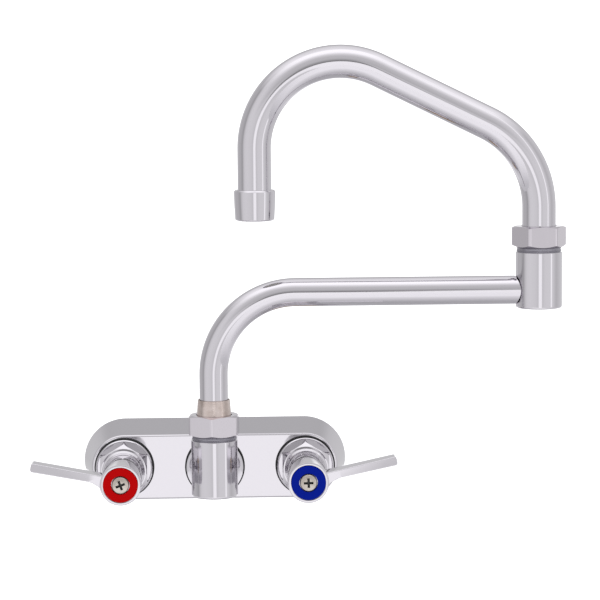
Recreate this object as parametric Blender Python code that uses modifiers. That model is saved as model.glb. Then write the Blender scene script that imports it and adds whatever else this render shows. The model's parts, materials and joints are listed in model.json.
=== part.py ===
"""Wall-mounted kitchen mixing faucet with two wrist-blade levers and a double-jointed swing spout.

The origin is the centre of the wall gasket's rear face. The wall is the plane y = 0, +X is to the right
of the user, who stands on the -Y side, and +Z is up. All constants are millimetres; MM makes them metres.
Pieces of the body and the valves are drawn in stations whose local +Z points out of the wall, so their
heights are distances in front of the wall. Pieces of the swivel joints are drawn in upright stations.
"""
import math

import bmesh
import bpy
from mathutils import Matrix, Vector

MM = 0.001
MERGE = 0.00001                 # metres, well under the smallest edge
GAP = 0.3                       # kept between pieces that touch

# driving dimensions
VALVE_X = 50.8                  # half of the 4 inch spacing of the inlets
FACE = 28.6                     # front face of the body, in front of the wall
SPOUT_OUT = 58.6                # swivel axis of the spout, in front of the wall
ELBOW_X = 178.7                 # swivel axis at the outer end of the arm
ARM_Z = 101.0                   # centreline of the level part of the arm
ARM_BEND = 45.0
SPOUT_LOW = Vector((ELBOW_X, 0.0, 178.3))     # corners of the upper spout's centreline
SPOUT_HIGH = Vector((23.5, 0.0, 254.7))
SPOUT_LOW_BEND, SPOUT_HIGH_BEND = 51.5, 46.8
OUTLET_Z = 140.5                # mouth of the aerator
LEVER_LENGTH = 49.4
HOT_RAISE, COLD_RAISE = 10.6, 12.0            # degrees above level
BASE_NUT_TURN, ELBOW_NUT_TURN = -12.0, -21.0

# body casting
BODY_BACK, BODY_FRONT, BODY_WALL = 23.8, 18.1, 3.0
BODY_EDGE = 0.9
GASKET_THICK, GASKET_END = 1.5, 22.8
FACE_WALL = 3.2
BARREL_R, BOSS_R = 14.0, 12.0
SEAT_WALL_BACK, SEAT_WALL_FRONT = 11.0, 14.0
CHAMBER_R, SOCKET_R, SEAT_HOLE_R, SPIGOT_HOLE_R = 10.5, 10.95, 6.9, 9.3
WATERWAY_OUT, WATERWAY_R, WATERWAY_WALL = 19.0, 4.5, 2.0

# inlets, behind the wall plane
SHANK_R, SHANK_BORE, SHANK_REAR, SHANK_EDGE = 10.65, 6.8, -42.0, 0.75
SHANK_CLEARANCE = 0.4
WASHER_FRONT, WASHER_THICK, WASHER_R = -12.3, 1.5, 16.5
LOCKNUT_CORNER, LOCKNUT_THICK = 16.5, 6.0

# seat and disc, distances in front of the wall
SEAT_R, SEAT_LIP_R, SEAT_FRONT, SEAT_BORE = 8.6, 6.0, 16.4, 4.4
DISC_R, DISC_THICK, DISC_BORE = 6.5, 2.0, 2.1
HOLDER_R, HOLDER_NECK_R, HOLDER_NECK, HOLDER_FRONT = 7.8, 3.0, 22.8, 25.0
WASHER_SCREW_R, WASHER_SCREW_HEAD_R, WASHER_SCREW_BACK, WASHER_SCREW_FRONT = 1.7, 3.4, 14.8, 24.5

# bonnet and stem, distances in front of the wall
FLANGE_R, FLANGE_BACK, FLANGE_FRONT = 16.4, FACE + 1.2, 32.4
HEX_CORNER, HEX_BACK, HEX_FRONT, HEX_CUT = 15.0, 31.6, 41.6, 2.2
COLLAR_R, COLLAR_FRONT = 11.9, 43.2
SLEEVE_R, SLEEVE_BACK = 10.7, 44.6
BONNET_BACK, BONNET_FRONT = 24.5, 66.6
NECK_HOLE_R, LAND_HOLE_R, LAND_HOLE_FRONT = 5.0, 6.7, 47.2
PACKING_OUT, PACKING_MAJOR, PACKING_GROOVE_R, PACKING_WIDE = 59.7, 5.8, 7.0, 2.4
NECK_R, LAND_R, LAND_BACK, LAND_FRONT = 4.6, 6.3, 27.4, 43.0
STEM_BACK, STEM_FRONT, HOLDER_SOCKET_R = 23.2, 79.6, 3.4
TAPPED_R, TAPPED_BACK = 2.3, 70.0

# lever, index ring and screw, distances in front of the wall
HUB_R, HUB_BACK, HUB_FRONT, HUB_EDGE = 11.15, 68.6, 85.0, 0.6
BLADE_BACK, BLADE_FRONT, BLADE_TOP, BLADE_BOTTOM, BLADE_CORNER = 71.6, 84.1, 3.2, -1.4, 0.9
WEB_START, WEB_R, WEB_INNER, WEB_DROP = 17.8, 16.0, 4.0, -9.5
RECESS_R, RECESS_FLOOR = 9.8, 83.4
SPLINE_R, SPLINE_FLOOR = 4.0, 79.9
INDEX_R, INDEX_BORE, INDEX_FRONT = 9.5, 5.0, 84.8
SCREW_R, SCREW_HEAD_R, SCREW_FRONT, SCREW_BACK = 2.0, 4.7, 85.8, 71.0

# tubes
ARM_TUBE, ARM_TUBE_BORE = 7.85, 6.6
SPOUT_TUBE, SPOUT_TUBE_BORE = 9.2, 7.9

# swivel joints: radii shared by the base and the elbow
SWIVEL_R, THREAD_R, SWIVEL_BORE = 12.7, 11.9, 8.6
STEM_R, STEM_BORE, SHOULDER_R = 8.0, 5.0, 11.0
NUT_CORNER, NUT_HEIGHT, NUT_BORE, NUT_LIP = 15.4, 11.4, 12.2, 2.8
NUT_CUTS = 1.3, 0.9             # height of the turned corners at the foot and the top of a nut
SHOULDER_THICK, THRUST_THICK = 1.6, 0.8
RING_MAJOR, RING_MINOR, GROOVE_R, GROOVE_WIDE = 7.4, 0.85, 6.25, 2.3
RING_DEPTHS = 2.0, 8.0          # below the foot of the swivel nut
BASE_NUT_Z, ELBOW_NUT_Z = 22.7, 124.6
BASE_FOOT, BASE_SHOULDER, BASE_FLOOR, BASE_EDGE = -11.3, 20.1, 3.5, 2.6
ELBOW_FOOT, ELBOW_SHOULDER, ELBOW_FLOOR, ELBOW_EDGE = 91.0, 121.8, 3.0, 1.2
SOCKET_EDGE, THREAD_EDGE = 0.4, 0.8
ARM_STEM_FOOT, ARM_TUBE_FOOT, ARM_STEM_TOP = 7.0, 37.3, 42.4
ARM_COLLAR_R, ARM_COLLAR_TOP_R = 9.5, 8.8
SPOUT_STEM_FOOT, SPOUT_STEM_RISE, SPOUT_STEM_EDGE = 108.0, 8.5, 0.6
ARM_PORT_R = 5.0

# outlet elbow's neck
OUTLET_FLANGE_R, OUTLET_FLANGE_BACK, OUTLET_FLANGE_THICK = 16.3, FACE + 1.4, 2.2
NECK_FLARE, NECK_OUTER, NECK_PASSAGE, SPIGOT_BACK = 6.6, 9.5, 6.0, 22.0

# outlet end of the spout
SPOUT_END, HOUSING_TOP, HOUSING_R, MOUTH_R, MOUTH_LIP = 150.9, 157.2, 11.4, 8.2, 1.3
OUTLET_WASHER_THICK, OUTLET_WASHER_BORE = 1.9, 6.8
PASSAGE_R, PASSAGE_CIRCLE, PASSAGE_SIDES = 1.7, 5.2, 8

# mesh density
ROUND, FINE_ROUND, SMALL_ROUND = 18, 24, 12
TUBE_SIDES, RING_SIDES = 16, 6
BEND_STEP = math.radians(12.0)
CHAMFER_SHARE = 0.9             # of the way from a nut's corner in to its flat
OVER = 1.0                      # how far a cutter runs past the face that it opens


# ---- scene, materials and placing -------------------------------------------------------------------

def clear_scene():
    for obj in list(bpy.data.objects):
        bpy.data.objects.remove(obj, do_unlink=True)


def new_collection(name):
    made = bpy.data.collections.new(name)
    bpy.context.scene.collection.children.link(made)
    return made


def material(name, colour, metallic, roughness):
    made = bpy.data.materials.new(name)
    made.use_nodes = True
    shader = made.node_tree.nodes["Principled BSDF"]
    shader.inputs["Base Color"].default_value = (*colour, 1.0)
    shader.inputs["Metallic"].default_value = metallic
    shader.inputs["Roughness"].default_value = roughness
    return made


clear_scene()
PIECES = new_collection("mixing_faucet")
GUIDES = new_collection("cutters")
FINISHES = {
    "chrome": ((0.78, 0.78, 0.80), 1.0, 0.08),
    "brass": ((0.72, 0.60, 0.42), 1.0, 0.25),
    "steel": ((0.62, 0.60, 0.57), 1.0, 0.35),
    "rubber": ((0.02, 0.02, 0.02), 0.0, 0.70),
    "ptfe": ((0.86, 0.86, 0.84), 0.0, 0.45),
    "acetal": ((0.80, 0.80, 0.76), 0.0, 0.40),
    "red": ((0.55, 0.0, 0.0), 0.0, 0.35),
    "blue": ((0.0, 0.02, 0.22), 0.0, 0.35),
}


def station(name, place, facing_out=False):
    """An empty on an axis; its local +Z is up, or points out of the wall."""
    empty = bpy.data.objects.new(name, None)
    empty.location = Vector(place) * MM
    if facing_out:
        empty.rotation_euler = (math.pi / 2, 0.0, 0.0)
    PIECES.objects.link(empty)
    return empty


def as_piece(obj, finish, parent):
    """Name the piece's own material after it and hang it on its station."""
    colour, metallic, roughness = FINISHES[finish]
    obj.data.materials.clear()
    obj.data.materials.append(material(obj.name + "_" + finish, colour, metallic, roughness))
    PIECES.objects.link(obj)
    obj.parent = parent
    return obj


def as_guide(obj, parent):
    """A shape that only cuts or joins another, kept out of the render."""
    GUIDES.objects.link(obj)
    obj.parent = parent
    obj.hide_render = True
    obj.display_type = "WIRE"
    return obj


def boolean(obj, operation, guide):
    cut = obj.modifiers.new(operation.lower() + "_" + guide.name, "BOOLEAN")
    cut.operation = operation
    cut.object = guide
    return obj


# ---- shapes -----------------------------------------------------------------------------------------

def turned(name, outline, sides=ROUND):
    """Revolve (radius, height) points, listed down the outer side. An outline whose ends lie on the
    axis makes a solid; any other is closed into a ring."""
    mesh = bpy.data.meshes.new(name)
    points = [(radius * MM, 0.0, height * MM) for radius, height in outline]
    edges = [(i, i + 1) for i in range(len(points) - 1)]
    if outline[0][0] > 0.0:
        edges.append((len(points) - 1, 0))
    mesh.from_pydata(points, edges, [])
    obj = bpy.data.objects.new(name, mesh)
    screw = obj.modifiers.new("revolve", "SCREW")
    screw.steps = screw.render_steps = sides
    screw.use_merge_vertices = True
    screw.merge_threshold = MERGE
    screw.use_smooth_shade = True
    return obj


def rod(name, radius, low, high, sides=ROUND):
    return turned(name, [(0, high), (radius, high), (radius, low), (0, low)], sides)


def ring(name, outer, inner, low, high, sides=ROUND):
    return turned(name, [(outer, high), (outer, low), (inner, low), (inner, high)], sides)


def o_ring(name, major, minor, height):
    corners = [(major + minor * math.cos(t), height - minor * math.sin(t))
               for t in (math.tau * (i + 0.5) / RING_SIDES for i in range(RING_SIDES))]
    return turned(name, corners, SMALL_ROUND)


def prism(name, corner_radius, low, high, sides=6, turn=0.0):
    """An upright prism with one corner on local +Y, turned by an angle in degrees."""
    mesh = bpy.data.meshes.new(name)
    shape = bmesh.new()
    middle = Matrix.Translation((0.0, 0.0, (low + high) / 2 * MM)) @ Matrix.Rotation(math.radians(turn), 4, "Z")
    bmesh.ops.create_cone(shape, cap_ends=True, segments=sides, radius1=corner_radius * MM,
                          radius2=corner_radius * MM, depth=(high - low) * MM, matrix=middle)
    shape.to_mesh(mesh)
    shape.free()
    return bpy.data.objects.new(name, mesh)


def stretched_cone(name, back_radius, front_radius, back, front, edge=0.0):
    """A tapered round block slid apart at x = 0 into an obround whose ends centre on the valves."""
    mesh = bpy.data.meshes.new(name)
    shape = bmesh.new()
    half_step = Matrix.Rotation(math.pi / FINE_ROUND, 4, "Z")
    middle = Matrix.Translation((0.0, 0.0, (back + front) / 2 * MM)) @ half_step
    bmesh.ops.create_cone(shape, cap_ends=True, segments=FINE_ROUND, radius1=back_radius * MM,
                          radius2=front_radius * MM, depth=(front - back) * MM, matrix=middle)
    for vert in shape.verts:
        vert.co.x += math.copysign(VALVE_X * MM, vert.co.x)
    if edge:
        rim = [e for e in shape.edges if all(v.co.z > (front - GAP) * MM for v in e.verts)]
        bmesh.ops.bevel(shape, geom=rim, offset=edge * MM, offset_type="OFFSET", segments=2,
                        profile=0.5, affect="EDGES", material=-1)
    shape.to_mesh(mesh)
    shape.free()
    return bpy.data.objects.new(name, mesh)


def arc(centre, radius, start, end, steps):
    """Points of an arc in a flat outline, angles in degrees."""
    angles = [math.radians(start + (end - start) * i / steps) for i in range(steps + 1)]
    return [(centre[0] + radius * math.cos(a), centre[1] + radius * math.sin(a)) for a in angles]


def plate(name, outlines, low, high):
    """A flat outline, with any holes, given thickness by a filled curve and made a mesh."""
    curve = bpy.data.curves.new(name, "CURVE")
    curve.dimensions = "2D"
    curve.fill_mode = "BOTH"
    curve.extrude = (high - low) / 2 * MM
    for outline in outlines:
        spline = curve.splines.new("POLY")
        spline.points.add(len(outline) - 1)
        for point, (x, y) in zip(spline.points, outline):
            point.co = (x * MM, y * MM, 0.0, 1.0)
        spline.use_cyclic_u = True
    return curve_to_mesh(name, curve, Matrix.Translation((0.0, 0.0, (low + high) / 2 * MM)))


def curve_to_mesh(name, curve, shift):
    """Replace a curve by its mesh, with the loose caps welded on."""
    drawn = bpy.data.objects.new(name + "_curve", curve)
    bpy.context.scene.collection.objects.link(drawn)
    view = bpy.context.evaluated_depsgraph_get()
    mesh = bpy.data.meshes.new_from_object(drawn.evaluated_get(view))
    bpy.data.objects.remove(drawn)
    shape = bmesh.new()
    shape.from_mesh(mesh)
    bmesh.ops.remove_doubles(shape, verts=shape.verts, dist=MERGE)
    shape.transform(shift)
    shape.to_mesh(mesh)
    shape.free()
    mesh.name = name
    return bpy.data.objects.new(name, mesh)


def rounded_route(corners, bends):
    """The points of a tube's centreline, each inner corner rounded to its bend radius."""
    route = [corners[0]]
    for before, corner, after, bend in zip(corners, corners[1:], corners[2:], bends):
        back, onward = (before - corner).normalized(), (after - corner).normalized()
        turn = math.pi - back.angle(onward)
        start = corner + back * bend * math.tan(turn / 2)
        centre = corner + (back + onward).normalized() * bend / math.cos(turn / 2)
        axis = onward.cross(back).normalized()
        steps = math.ceil(turn / BEND_STEP)
        route += [centre + Matrix.Rotation(turn * i / steps, 3, axis) @ (start - centre)
                  for i in range(steps + 1)]
    return route + [corners[-1]]


def bent_tube(name, route, outer, bore):
    """A hollow tube: an uncapped round curve given its wall by Solidify."""
    curve = bpy.data.curves.new(name, "CURVE")
    curve.dimensions = "3D"
    curve.bevel_depth = outer * MM
    curve.bevel_resolution = (TUBE_SIDES - 4) // 2
    spline = curve.splines.new("POLY")
    spline.points.add(len(route) - 1)
    for point, place in zip(spline.points, route):
        point.co = (*(place * MM), 1.0)
    obj = curve_to_mesh(name, curve, Matrix.Identity(4))
    obj.data.shade_smooth()
    wall = obj.modifiers.new("wall", "SOLIDIFY")
    wall.thickness = (outer - bore) * MM
    wall.offset = -1.0
    return obj


# ---- body -------------------------------------------------------------------------------------------

def obround(radius, steps=FINE_ROUND // 2):
    return arc((VALVE_X, 0), radius, -90, 90, steps) + arc((-VALVE_X, 0), radius, 90, 270, steps)


def wall_gasket(wall):
    holes = [arc((side * VALVE_X, 0), SHANK_R + 2 * GAP, 0, 360 - 360 / ROUND, ROUND - 1) for side in (-1, 1)]
    as_piece(plate("wall_gasket", [obround(GASKET_END), *holes], 0.0, GASKET_THICK), "rubber", wall)


def waterway(name, radius, reach, parent):
    """A round bar or bore along X that links the valve chambers through the centre boss."""
    bar = as_guide(rod(name, radius, -reach, reach, SMALL_ROUND), parent)
    across = Matrix.Rotation(math.pi / 2, 4, "Y") @ Matrix.Rotation(math.pi / SMALL_ROUND, 4, "Z")
    bar.matrix_local = Matrix.Translation((0.0, 0.0, WATERWAY_OUT * MM)) @ across
    return bar


def body_casting(wall, valves):
    """An open-backed shell with two valve barrels, a centre boss and the cored waterway between them."""
    back = GASKET_THICK + GAP
    body = stretched_cone("body_casting", BODY_BACK, BODY_FRONT, back, FACE, edge=BODY_EDGE)
    taper = (BODY_BACK - BODY_FRONT) / (FACE - back)
    hollow_back, hollow_front = 0.0, FACE - FACE_WALL
    hollow = stretched_cone("body_hollow", BODY_BACK - BODY_WALL + taper * (back - hollow_back),
                            BODY_BACK - BODY_WALL - taper * (hollow_front - back), hollow_back, hollow_front)
    as_piece(body, "chrome", wall)
    boolean(body, "DIFFERENCE", as_guide(hollow, wall))
    overlap = FACE - FACE_WALL / 2
    for side, valve in valves:
        boolean(body, "UNION", as_guide(rod(side + "_barrel", BARREL_R, back, overlap), valve))
    boolean(body, "UNION", as_guide(rod("centre_boss", BOSS_R, SEAT_WALL_BACK, overlap), wall))
    boolean(body, "UNION", waterway("waterway_wall", WATERWAY_R + WATERWAY_WALL, VALVE_X, wall))
    chamber = [(0, FACE + OVER), (CHAMBER_R, FACE + OVER), (CHAMBER_R, SEAT_WALL_FRONT),
               (SEAT_HOLE_R, SEAT_WALL_FRONT), (SEAT_HOLE_R, SEAT_WALL_BACK), (SOCKET_R, SEAT_WALL_BACK),
               (SOCKET_R, back - OVER), (0, back - OVER)]
    for side, valve in valves:
        boolean(body, "DIFFERENCE", as_guide(turned(side + "_chamber", chamber), valve))
    spigot_hole = rod("spigot_hole", SPIGOT_HOLE_R, SEAT_WALL_FRONT, FACE + OVER)
    boolean(body, "DIFFERENCE", as_guide(spigot_hole, wall))
    boolean(body, "DIFFERENCE", waterway("waterway_bore", WATERWAY_R, VALVE_X - CHAMBER_R + 2 * OVER, wall))


def hex_nut(name, parent, corner, low, high, turn, cuts):
    """A hexagonal prism whose corners are turned off at the foot and the top."""
    nut = prism(name, corner, low, high, turn=turn)
    low_cut, high_cut = cuts
    flat = corner * math.cos(math.pi / 6)
    slope = (corner - flat) / max(cuts) * CHAMFER_SHARE
    outline = [(0, high), (corner - high_cut * slope, high), (corner, high - high_cut), (corner, low + low_cut),
               (corner - low_cut * slope, low), (0, low)]
    corners_off = turned(name + "_corners", outline, FINE_ROUND)
    boolean(nut, "INTERSECT", as_guide(corners_off, parent))
    return nut


def inlet(side, valve):
    """The threaded shank through the wall, and the washer and nut that clamp the panel from behind."""
    shank_front = SEAT_WALL_BACK - GAP
    shank = turned(side + "_inlet_shank", [
        (SHANK_R - SHANK_EDGE, shank_front), (SHANK_R, shank_front - SHANK_EDGE),
        (SHANK_R, SHANK_REAR + SHANK_EDGE), (SHANK_R - SHANK_EDGE, SHANK_REAR), (SHANK_BORE, SHANK_REAR),
        (SHANK_BORE, shank_front)])
    as_piece(shank, "brass", valve)
    hole = SHANK_R + SHANK_CLEARANCE
    washer_back = WASHER_FRONT - WASHER_THICK
    as_piece(ring(side + "_lock_washer", WASHER_R, hole, washer_back, WASHER_FRONT), "steel", valve)
    nut_front = washer_back - GAP
    nut_back = nut_front - LOCKNUT_THICK
    nut = hex_nut(side + "_locknut", valve, LOCKNUT_CORNER, nut_back, nut_front, 0.0, NUT_CUTS)
    bore = rod(side + "_locknut_bore", hole, nut_back - OVER, nut_front + OVER)
    boolean(nut, "DIFFERENCE", as_guide(bore, valve))
    as_piece(nut, "brass", valve)


# ---- valves: heights are distances in front of the wall ---------------------------------------------

def seat_and_disc(side, valve):
    """The renewable seat in the body, and the rubber washer that the stem lifts off it."""
    land, neck_r = SEAT_WALL_FRONT + GAP, SEAT_HOLE_R - GAP
    seat = turned(side + "_seat_ring", [
        (SEAT_LIP_R - 0.8, SEAT_FRONT), (SEAT_LIP_R, SEAT_FRONT), (SEAT_LIP_R + 0.6, SEAT_FRONT - 0.8),
        (SEAT_R, SEAT_FRONT - 1.0), (SEAT_R, land), (neck_r, land), (neck_r, SEAT_WALL_BACK + GAP),
        (SEAT_BORE, SEAT_WALL_BACK + GAP), (SEAT_BORE, SEAT_FRONT - 0.6)], SMALL_ROUND)
    as_piece(seat, "brass", valve)
    disc_back = SEAT_FRONT + GAP
    disc_front = disc_back + DISC_THICK
    washer = ring(side + "_seat_washer", DISC_R, DISC_BORE, disc_back, disc_front, SMALL_ROUND)
    as_piece(washer, "rubber", valve)
    cup_r, rim = DISC_R + 0.4, disc_back + 0.8
    holder = turned(side + "_disc_holder", [
        (HOLDER_NECK_R, HOLDER_FRONT), (HOLDER_NECK_R, HOLDER_NECK), (HOLDER_R, HOLDER_NECK), (HOLDER_R, rim),
        (cup_r, rim), (cup_r, disc_front + GAP), (DISC_BORE, disc_front + GAP), (DISC_BORE, HOLDER_FRONT)],
        SMALL_ROUND)
    as_piece(holder, "brass", valve)
    head, head_r = disc_back - GAP, WASHER_SCREW_HEAD_R
    screw = turned(side + "_washer_screw", [
        (0, WASHER_SCREW_FRONT), (WASHER_SCREW_R, WASHER_SCREW_FRONT), (WASHER_SCREW_R, head), (head_r, head),
        (head_r, WASHER_SCREW_BACK + 0.5), (head_r - 0.8, WASHER_SCREW_BACK), (0, WASHER_SCREW_BACK)],
        SMALL_ROUND)
    as_piece(screw, "steel", valve)


def bonnet(side, valve):
    """Round flange, hex and sleeve in one turned piece, with a skirt in the body and an O-ring groove."""
    gasket = ring(side + "_bonnet_gasket", FLANGE_R - 0.2, CHAMBER_R + 0.5, FACE + GAP, FLANGE_BACK - GAP)
    as_piece(gasket, "rubber", valve)
    skirt = CHAMBER_R - GAP
    shell = turned(side + "_bonnet", [
        (0, BONNET_FRONT), (SLEEVE_R - 0.4, BONNET_FRONT), (SLEEVE_R, BONNET_FRONT - 0.4),
        (SLEEVE_R, SLEEVE_BACK), (COLLAR_R, COLLAR_FRONT), (COLLAR_R, FLANGE_FRONT),
        (FLANGE_R - 0.9, FLANGE_FRONT), (FLANGE_R, FLANGE_FRONT - 0.9), (FLANGE_R, FLANGE_BACK),
        (skirt, FLANGE_BACK), (skirt, BONNET_BACK), (0, BONNET_BACK)])
    as_piece(shell, "chrome", valve)
    hexagon = hex_nut(side + "_bonnet_hex", valve, HEX_CORNER, HEX_BACK, HEX_FRONT, 0.0, (0.0, HEX_CUT))
    boolean(shell, "UNION", as_guide(hexagon, valve))
    groove_back, groove_front = PACKING_OUT - PACKING_WIDE / 2, PACKING_OUT + PACKING_WIDE / 2
    bore = turned(side + "_bonnet_bore", [
        (0, BONNET_FRONT + OVER), (NECK_HOLE_R, BONNET_FRONT + OVER), (NECK_HOLE_R, groove_front),
        (PACKING_GROOVE_R, groove_front), (PACKING_GROOVE_R, groove_back), (NECK_HOLE_R, groove_back),
        (NECK_HOLE_R, LAND_HOLE_FRONT), (LAND_HOLE_R, LAND_HOLE_FRONT), (LAND_HOLE_R, BONNET_BACK + 3.5),
        (skirt - 1.8, BONNET_BACK + 2.5), (skirt - 1.8, BONNET_BACK - OVER), (0, BONNET_BACK - OVER)],
        SMALL_ROUND)
    boolean(shell, "DIFFERENCE", as_guide(bore, valve))
    as_piece(o_ring(side + "_packing_ring", PACKING_MAJOR, RING_MINOR, PACKING_OUT), "rubber", valve)


def stem(side, valve):
    """Rising stem: socket for the disc holder, the screw thread's land, polished neck and splined end."""
    spline_back = HUB_BACK
    made = turned(side + "_stem", [
        (0, TAPPED_BACK), (TAPPED_R, TAPPED_BACK), (TAPPED_R, STEM_FRONT), (SPLINE_R, STEM_FRONT),
        (SPLINE_R, spline_back), (NECK_R, spline_back - 0.6), (NECK_R, LAND_FRONT + 1.0),
        (LAND_R, LAND_FRONT), (LAND_R, LAND_BACK), (LAND_R - 1.3, LAND_BACK - 1.0), (LAND_R - 1.3, STEM_BACK),
        (HOLDER_SOCKET_R, STEM_BACK), (HOLDER_SOCKET_R, HOLDER_FRONT + 0.5), (0, HOLDER_FRONT + 0.5)],
        SMALL_ROUND)
    as_piece(made, "brass", valve)


def blade_outline(direction):
    """Front outline of the lever's blade, a little deeper at the hub, and the web that flares into the hub."""
    tip = LEVER_LENGTH - BLADE_CORNER
    shape = [(WEB_INNER, BLADE_TOP - 0.1)]
    shape += arc((tip, BLADE_TOP - BLADE_CORNER + 0.1), BLADE_CORNER, 85, 0, 3)
    shape += arc((tip, BLADE_BOTTOM + BLADE_CORNER - 0.2), BLADE_CORNER, 0, -85, 3)
    shape.append((WEB_START, BLADE_BOTTOM + 0.2))
    shape += arc((WEB_START + 1.0, BLADE_BOTTOM - WEB_R + 0.2), WEB_R, 93, 132, 4)
    shape.append((WEB_INNER, WEB_DROP))
    return [(direction * x, y) for x, y in shape]


def lever(side, valve, direction, raise_deg, colour):
    """Hub, blade and web in one casting, bored for the stem and recessed for the index ring."""
    made = turned(side + "_lever", [
        (0, HUB_FRONT), (HUB_R - HUB_EDGE, HUB_FRONT), (HUB_R, HUB_FRONT - HUB_EDGE),
        (HUB_R, HUB_BACK + HUB_EDGE), (HUB_R - HUB_EDGE, HUB_BACK), (0, HUB_BACK)], FINE_ROUND)
    as_piece(made, "chrome", valve)
    blade = plate(side + "_blade", [blade_outline(direction)], BLADE_BACK, BLADE_FRONT)
    blade.rotation_euler = (0.0, 0.0, math.radians(direction * raise_deg))
    boolean(made, "UNION", as_guide(blade, valve))
    screw_hole, spline_hole = SCREW_R + 0.4, SPLINE_R + GAP
    socket = turned(side + "_lever_bore", [
        (0, HUB_FRONT + OVER), (RECESS_R, HUB_FRONT + OVER), (RECESS_R, RECESS_FLOOR),
        (screw_hole, RECESS_FLOOR), (screw_hole, SPLINE_FLOOR), (spline_hole, SPLINE_FLOOR),
        (spline_hole, HUB_BACK - OVER), (0, HUB_BACK - OVER)], FINE_ROUND)
    boolean(made, "DIFFERENCE", as_guide(socket, valve))
    floor = RECESS_FLOOR + GAP
    as_piece(ring(side + "_index_ring", INDEX_R, INDEX_BORE, floor, INDEX_FRONT, FINE_ROUND), colour, valve)
    screw = turned(side + "_handle_screw", [
        (0, SCREW_FRONT), (SCREW_HEAD_R - 2.1, SCREW_FRONT - 0.2), (SCREW_HEAD_R - 0.7, SCREW_FRONT - 0.6),
        (SCREW_HEAD_R, SCREW_FRONT - 1.2), (SCREW_HEAD_R, floor), (SCREW_R, floor), (SCREW_R, SCREW_BACK),
        (0, SCREW_BACK)], SMALL_ROUND)
    as_piece(screw, "steel", valve)


# ---- swivel joints: heights are above the origin ----------------------------------------------------

def swivel_nut(name, nut_z, turn, lip_bore, parent):
    """Hex swivel nut: wide bore over the thread, and a lip that holds the stem's shoulder down."""
    top = nut_z + NUT_HEIGHT
    nut = hex_nut(name, parent, NUT_CORNER, nut_z, top, turn, NUT_CUTS)
    bore = [(0, top + OVER), (lip_bore, top + OVER), (lip_bore, top - NUT_LIP), (NUT_BORE, top - NUT_LIP),
            (NUT_BORE, nut_z - OVER), (0, nut_z - OVER)]
    boolean(nut, "DIFFERENCE", as_guide(turned(name + "_bore", bore), parent))
    as_piece(nut, "chrome", parent)


def shoulder_heights(nut_z):
    """Bottom and top of the stem's shoulder, and the top of the thread below it."""
    top = nut_z + NUT_HEIGHT - NUT_LIP - GAP
    bottom = top - SHOULDER_THICK
    return bottom, top, bottom - THRUST_THICK - 2 * GAP


def ring_heights(nut_z):
    return [nut_z - depth for depth in RING_DEPTHS]


def stem_foot(nut_z, foot):
    """The part of a swivel stem below its shoulder: a spigot with two O-ring grooves."""
    shoulder = shoulder_heights(nut_z)[0]
    outline = [(SHOULDER_R, shoulder), (STEM_R, shoulder)]
    for centre in ring_heights(nut_z):
        high, low = centre + GROOVE_WIDE / 2, centre - GROOVE_WIDE / 2
        outline += [(STEM_R, high), (GROOVE_R, high), (GROOVE_R, low), (STEM_R, low)]
    return outline + [(STEM_R, foot + 1.0), (STEM_R - 1.0, foot), (STEM_BORE, foot)]


def seals(prefix, nut_z, parent):
    """Two O-rings in the stem's grooves and the thrust washer under its shoulder."""
    for which, height in zip(("upper", "lower"), ring_heights(nut_z)):
        as_piece(o_ring(prefix + "_oring_" + which, RING_MAJOR, RING_MINOR, height), "rubber", parent)
    shoulder, _, thread_top = shoulder_heights(nut_z)
    washer = ring(prefix + "_thrust_washer", SHOULDER_R + 0.2, STEM_R + 0.4, thread_top + GAP, shoulder - GAP,
                  SMALL_ROUND)
    as_piece(washer, "ptfe", parent)


def socket_outside(nut_z, shoulder, foot, edges):
    """Outline of a swivel socket from the top of its thread down to the rounding of its foot."""
    thread_top = shoulder_heights(nut_z)[2]
    outline = [(THREAD_R - THREAD_EDGE, thread_top), (THREAD_R, thread_top - THREAD_EDGE), (THREAD_R, shoulder),
               (SWIVEL_R - SOCKET_EDGE, shoulder), (SWIVEL_R, shoulder - SOCKET_EDGE)]
    return outline + [(SWIVEL_R - inset, foot + rise) for inset, rise in edges]


def outlet_elbow(wall, arm_axis):
    """Flange and flared neck out of the face, turned up into the swivel socket."""
    gasket = ring("outlet_gasket", OUTLET_FLANGE_R - GAP, SPIGOT_HOLE_R + 0.4, FACE + GAP,
                  OUTLET_FLANGE_BACK - GAP)
    as_piece(gasket, "rubber", wall)
    thread_top = shoulder_heights(BASE_NUT_Z)[2]
    edges = [(0, BASE_EDGE), (0.3 * BASE_EDGE, 0.3 * BASE_EDGE), (BASE_EDGE, 0)]
    outside = socket_outside(BASE_NUT_Z, BASE_SHOULDER, BASE_FOOT, edges)
    socket = turned("outlet_elbow", [(0, thread_top), *outside, (0, BASE_FOOT)], FINE_ROUND)
    as_piece(socket, "chrome", arm_axis)
    spigot, rim = SPIGOT_HOLE_R - GAP, OUTLET_FLANGE_BACK + OUTLET_FLANGE_THICK
    flare = arc((OUTLET_FLANGE_R, rim + NECK_FLARE), NECK_FLARE, 180, 270, 4)
    neck = turned("outlet_neck", [
        (0, SPOUT_OUT), (NECK_OUTER, SPOUT_OUT), *flare, (OUTLET_FLANGE_R, OUTLET_FLANGE_BACK),
        (spigot, OUTLET_FLANGE_BACK), (spigot, SPIGOT_BACK), (0, SPIGOT_BACK)])
    boolean(socket, "UNION", as_guide(neck, wall))
    bore = rod("outlet_bore", SWIVEL_BORE, BASE_FOOT + BASE_FLOOR, thread_top + OVER)
    boolean(socket, "DIFFERENCE", as_guide(bore, arm_axis))
    boolean(socket, "DIFFERENCE", as_guide(rod("neck_bore", NECK_PASSAGE, SPIGOT_BACK - OVER, SPOUT_OUT), wall))


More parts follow.
